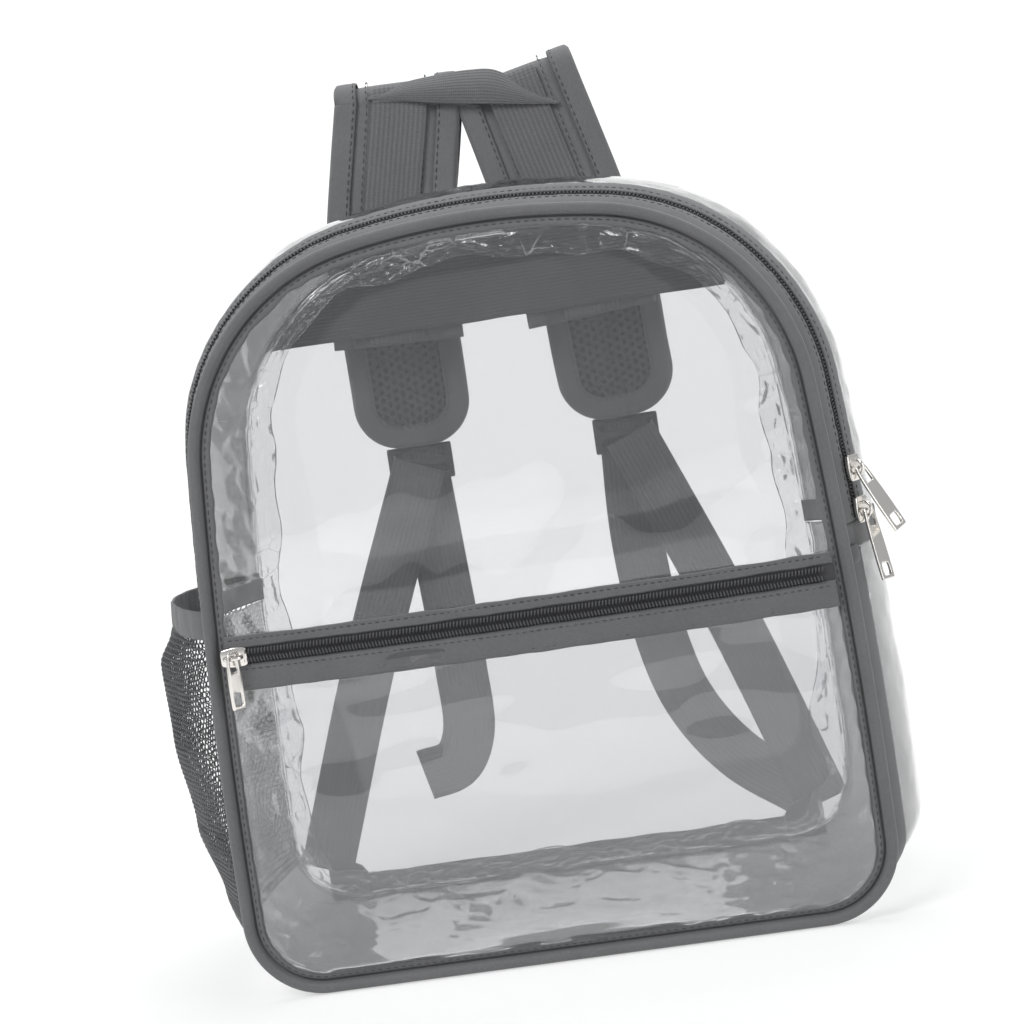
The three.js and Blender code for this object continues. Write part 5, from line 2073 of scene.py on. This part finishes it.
@dataclass
class Studio:
    """The camera, the pale sweep and the soft lights."""

    eye: tuple = (36.0, -838.0, 252.0)
    yaw: float = 2.68
    pitch: float = 4.98
    roll: float = 8.5
    lens: float = 68.6
    reach: float = 3.0

    def camera(self) -> None:
        """Sets the camera at the photograph's angle."""
        yaw, pitch, roll = (math.radians(angle) for angle in (self.yaw, self.pitch, self.roll))
        forward = Vector((-math.sin(yaw) * math.cos(pitch), math.cos(yaw) * math.cos(pitch), -math.sin(pitch)))
        right = Vector((math.cos(yaw), math.sin(yaw), 0))
        up = right.cross(forward)
        turned = math.cos(roll) * right - math.sin(roll) * up
        raised = math.sin(roll) * right + math.cos(roll) * up
        data = bpy.data.cameras.new("camera")
        data.lens, data.sensor_width = self.lens, 36.0
        camera = bpy.data.objects.new("camera", data)
        axes = Matrix((turned, raised, -forward)).transposed().to_4x4()
        camera.matrix_world = Matrix.Translation((Vector(self.eye) + SHIFT) * MM) @ axes
        bpy.context.scene.collection.objects.link(camera)
        bpy.context.scene.camera = camera

    def sweep(self) -> None:
        """The pale floor that curves up into a wall far behind the bag."""
        bend, reach = 0.8, self.reach

        def place(u: float, v: float) -> Vector:
            """Point of the sweep, in metres.

            Args:
                u: first share of the grid.
                v: second share of the grid.

            Returns:
                The point.
            """
            run = lerp(-reach, reach + 4, v)
            x = (2 * u - 1) * 5
            if run < reach - bend:
                return Vector((x, run, 0))
            turn = (run - reach + bend) / bend
            if turn < math.pi / 2:
                return Vector((x, reach - bend + bend * math.sin(turn), bend - bend * math.cos(turn)))
            return Vector((x, reach, bend + (turn - math.pi / 2) * bend))

        bm = Cloth.grid(4, 120, place, (10, 10))
        mesh = bpy.data.meshes.new("studio_sweep")
        for face in bm.faces:
            face.smooth = True
        bm.to_mesh(mesh)
        bm.free()
        obj = bpy.data.objects.new("studio_sweep", mesh)
        bpy.context.scene.collection.objects.link(obj)
        mesh.materials.append(PaperFinish().material())
        obj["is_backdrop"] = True

    def light(self, name: str, at: tuple, aim: tuple, size: tuple, power: float) -> None:
        """Adds a softbox.

        Args:
            name: its name.
            at: where it stands, in metres.
            aim: what it faces.
            size: width and height.
            power: watts.
        """
        data = bpy.data.lights.new(name, "AREA")
        data.shape, data.size, data.size_y, data.energy = "RECTANGLE", *size, power
        obj = bpy.data.objects.new(name, data)
        obj.location = at
        obj.rotation_euler = (Vector(aim) - Vector(at)).to_track_quat("-Z", "Y").to_euler()
        bpy.context.scene.collection.objects.link(obj)

    def build(self) -> None:
        """Makes the studio."""
        scene = bpy.context.scene
        scene.view_settings.view_transform = "Standard"
        scene.cycles.transparent_max_bounces = 24
        scene.cycles.max_bounces = 5
        scene.cycles.glossy_bounces = 2
        scene.cycles.diffuse_bounces = 2
        world = bpy.data.worlds.new("studio")
        world.use_nodes = True
        world.node_tree.nodes["Background"].inputs[0].default_value = (0.86, 0.88, 0.9, 1)
        world.node_tree.nodes["Background"].inputs[1].default_value = 0.5
        scene.world = world
        self.camera()
        self.sweep()
        middle = (0.0, 0.0, 0.16)
        self.light("key", (-0.9, -1.2, 1.5), middle, (0.8, 0.8), 21)
        self.light("fill", (1.4, -1.0, 0.7), middle, (0.6, 1.2), 7)
        self.light("top", (0.1, 0.3, 1.7), middle, (1.2, 0.6), 9)
        self.light("wall", (0.0, 1.2, 2.2), (0.0, 3.0, 0.6), (3.0, 1.0), 50)


LEFT = Strap(
    "left", -31.5,
    ((-47, 72.9, 258), (-46, 73.3, 285), (-43, 74.3, 310), (-37.2, 76.6, 340)),
    ((-37, 95.5, 340), (-44, 94, 310), (-47, 92, 275), (-47, 90, 240), (-47, 89, 209)),
    lean=-1.5, fold_z=367.5,
)
RIGHT = Strap(
    "right", 24.5,
    ((44, 72.9, 258), (42, 73.3, 285), (37.5, 74.3, 310), (30.6, 76.6, 340)),
    ((30.8, 95.5, 340), (40, 94, 310), (48, 92, 275), (50, 90, 240), (52, 89, 209)),
    lean=12.0,
)
LEFT_TETHER = Tether(
    "left", (-47, 89, 200.5),
    ((-47.5, 86.2, 200), (-85, 80, 110), (-119, 70.7, 16)),
    ((-47, 91.8, 207), (-45, 94, 150), (-43, 92, 100), (-44, 91, 68), (-52, 91, 54), (-68, 92, 50)),
)
RIGHT_TETHER = Tether(
    "right", (52, 89, 200.5),
    ((53.5, 86.2, 200), (88, 80, 110), (119, 70.7, 16)),
    ((52, 91.8, 207), (50, 95, 150), (54, 96, 105), (64, 96, 68), (84, 96, 38), (112, 95, 16)),
)


def main() -> None:
    """Builds the bag and its studio, and works out both boxes."""
    logging.basicConfig(level=logging.INFO, format="%(message)s")
    maker = Maker()
    Studio().build()
    parts = [
        FrontPanel(), FrontPocket(), Gusset(), Back(), NetPocket(), LEFT, RIGHT, HaulLoop((LEFT, RIGHT)),
        LEFT_TETHER, RIGHT_TETHER, Hardware(),
    ]
    for part in parts:
        LOG.info("building %s", type(part).__name__)
        part.build(maker)
    bpy.context.view_layer.update()
    boxes = [[list(corner) for corner in box] for box in (CAD_BOX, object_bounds())]


if __name__ == "__main__":
    main()
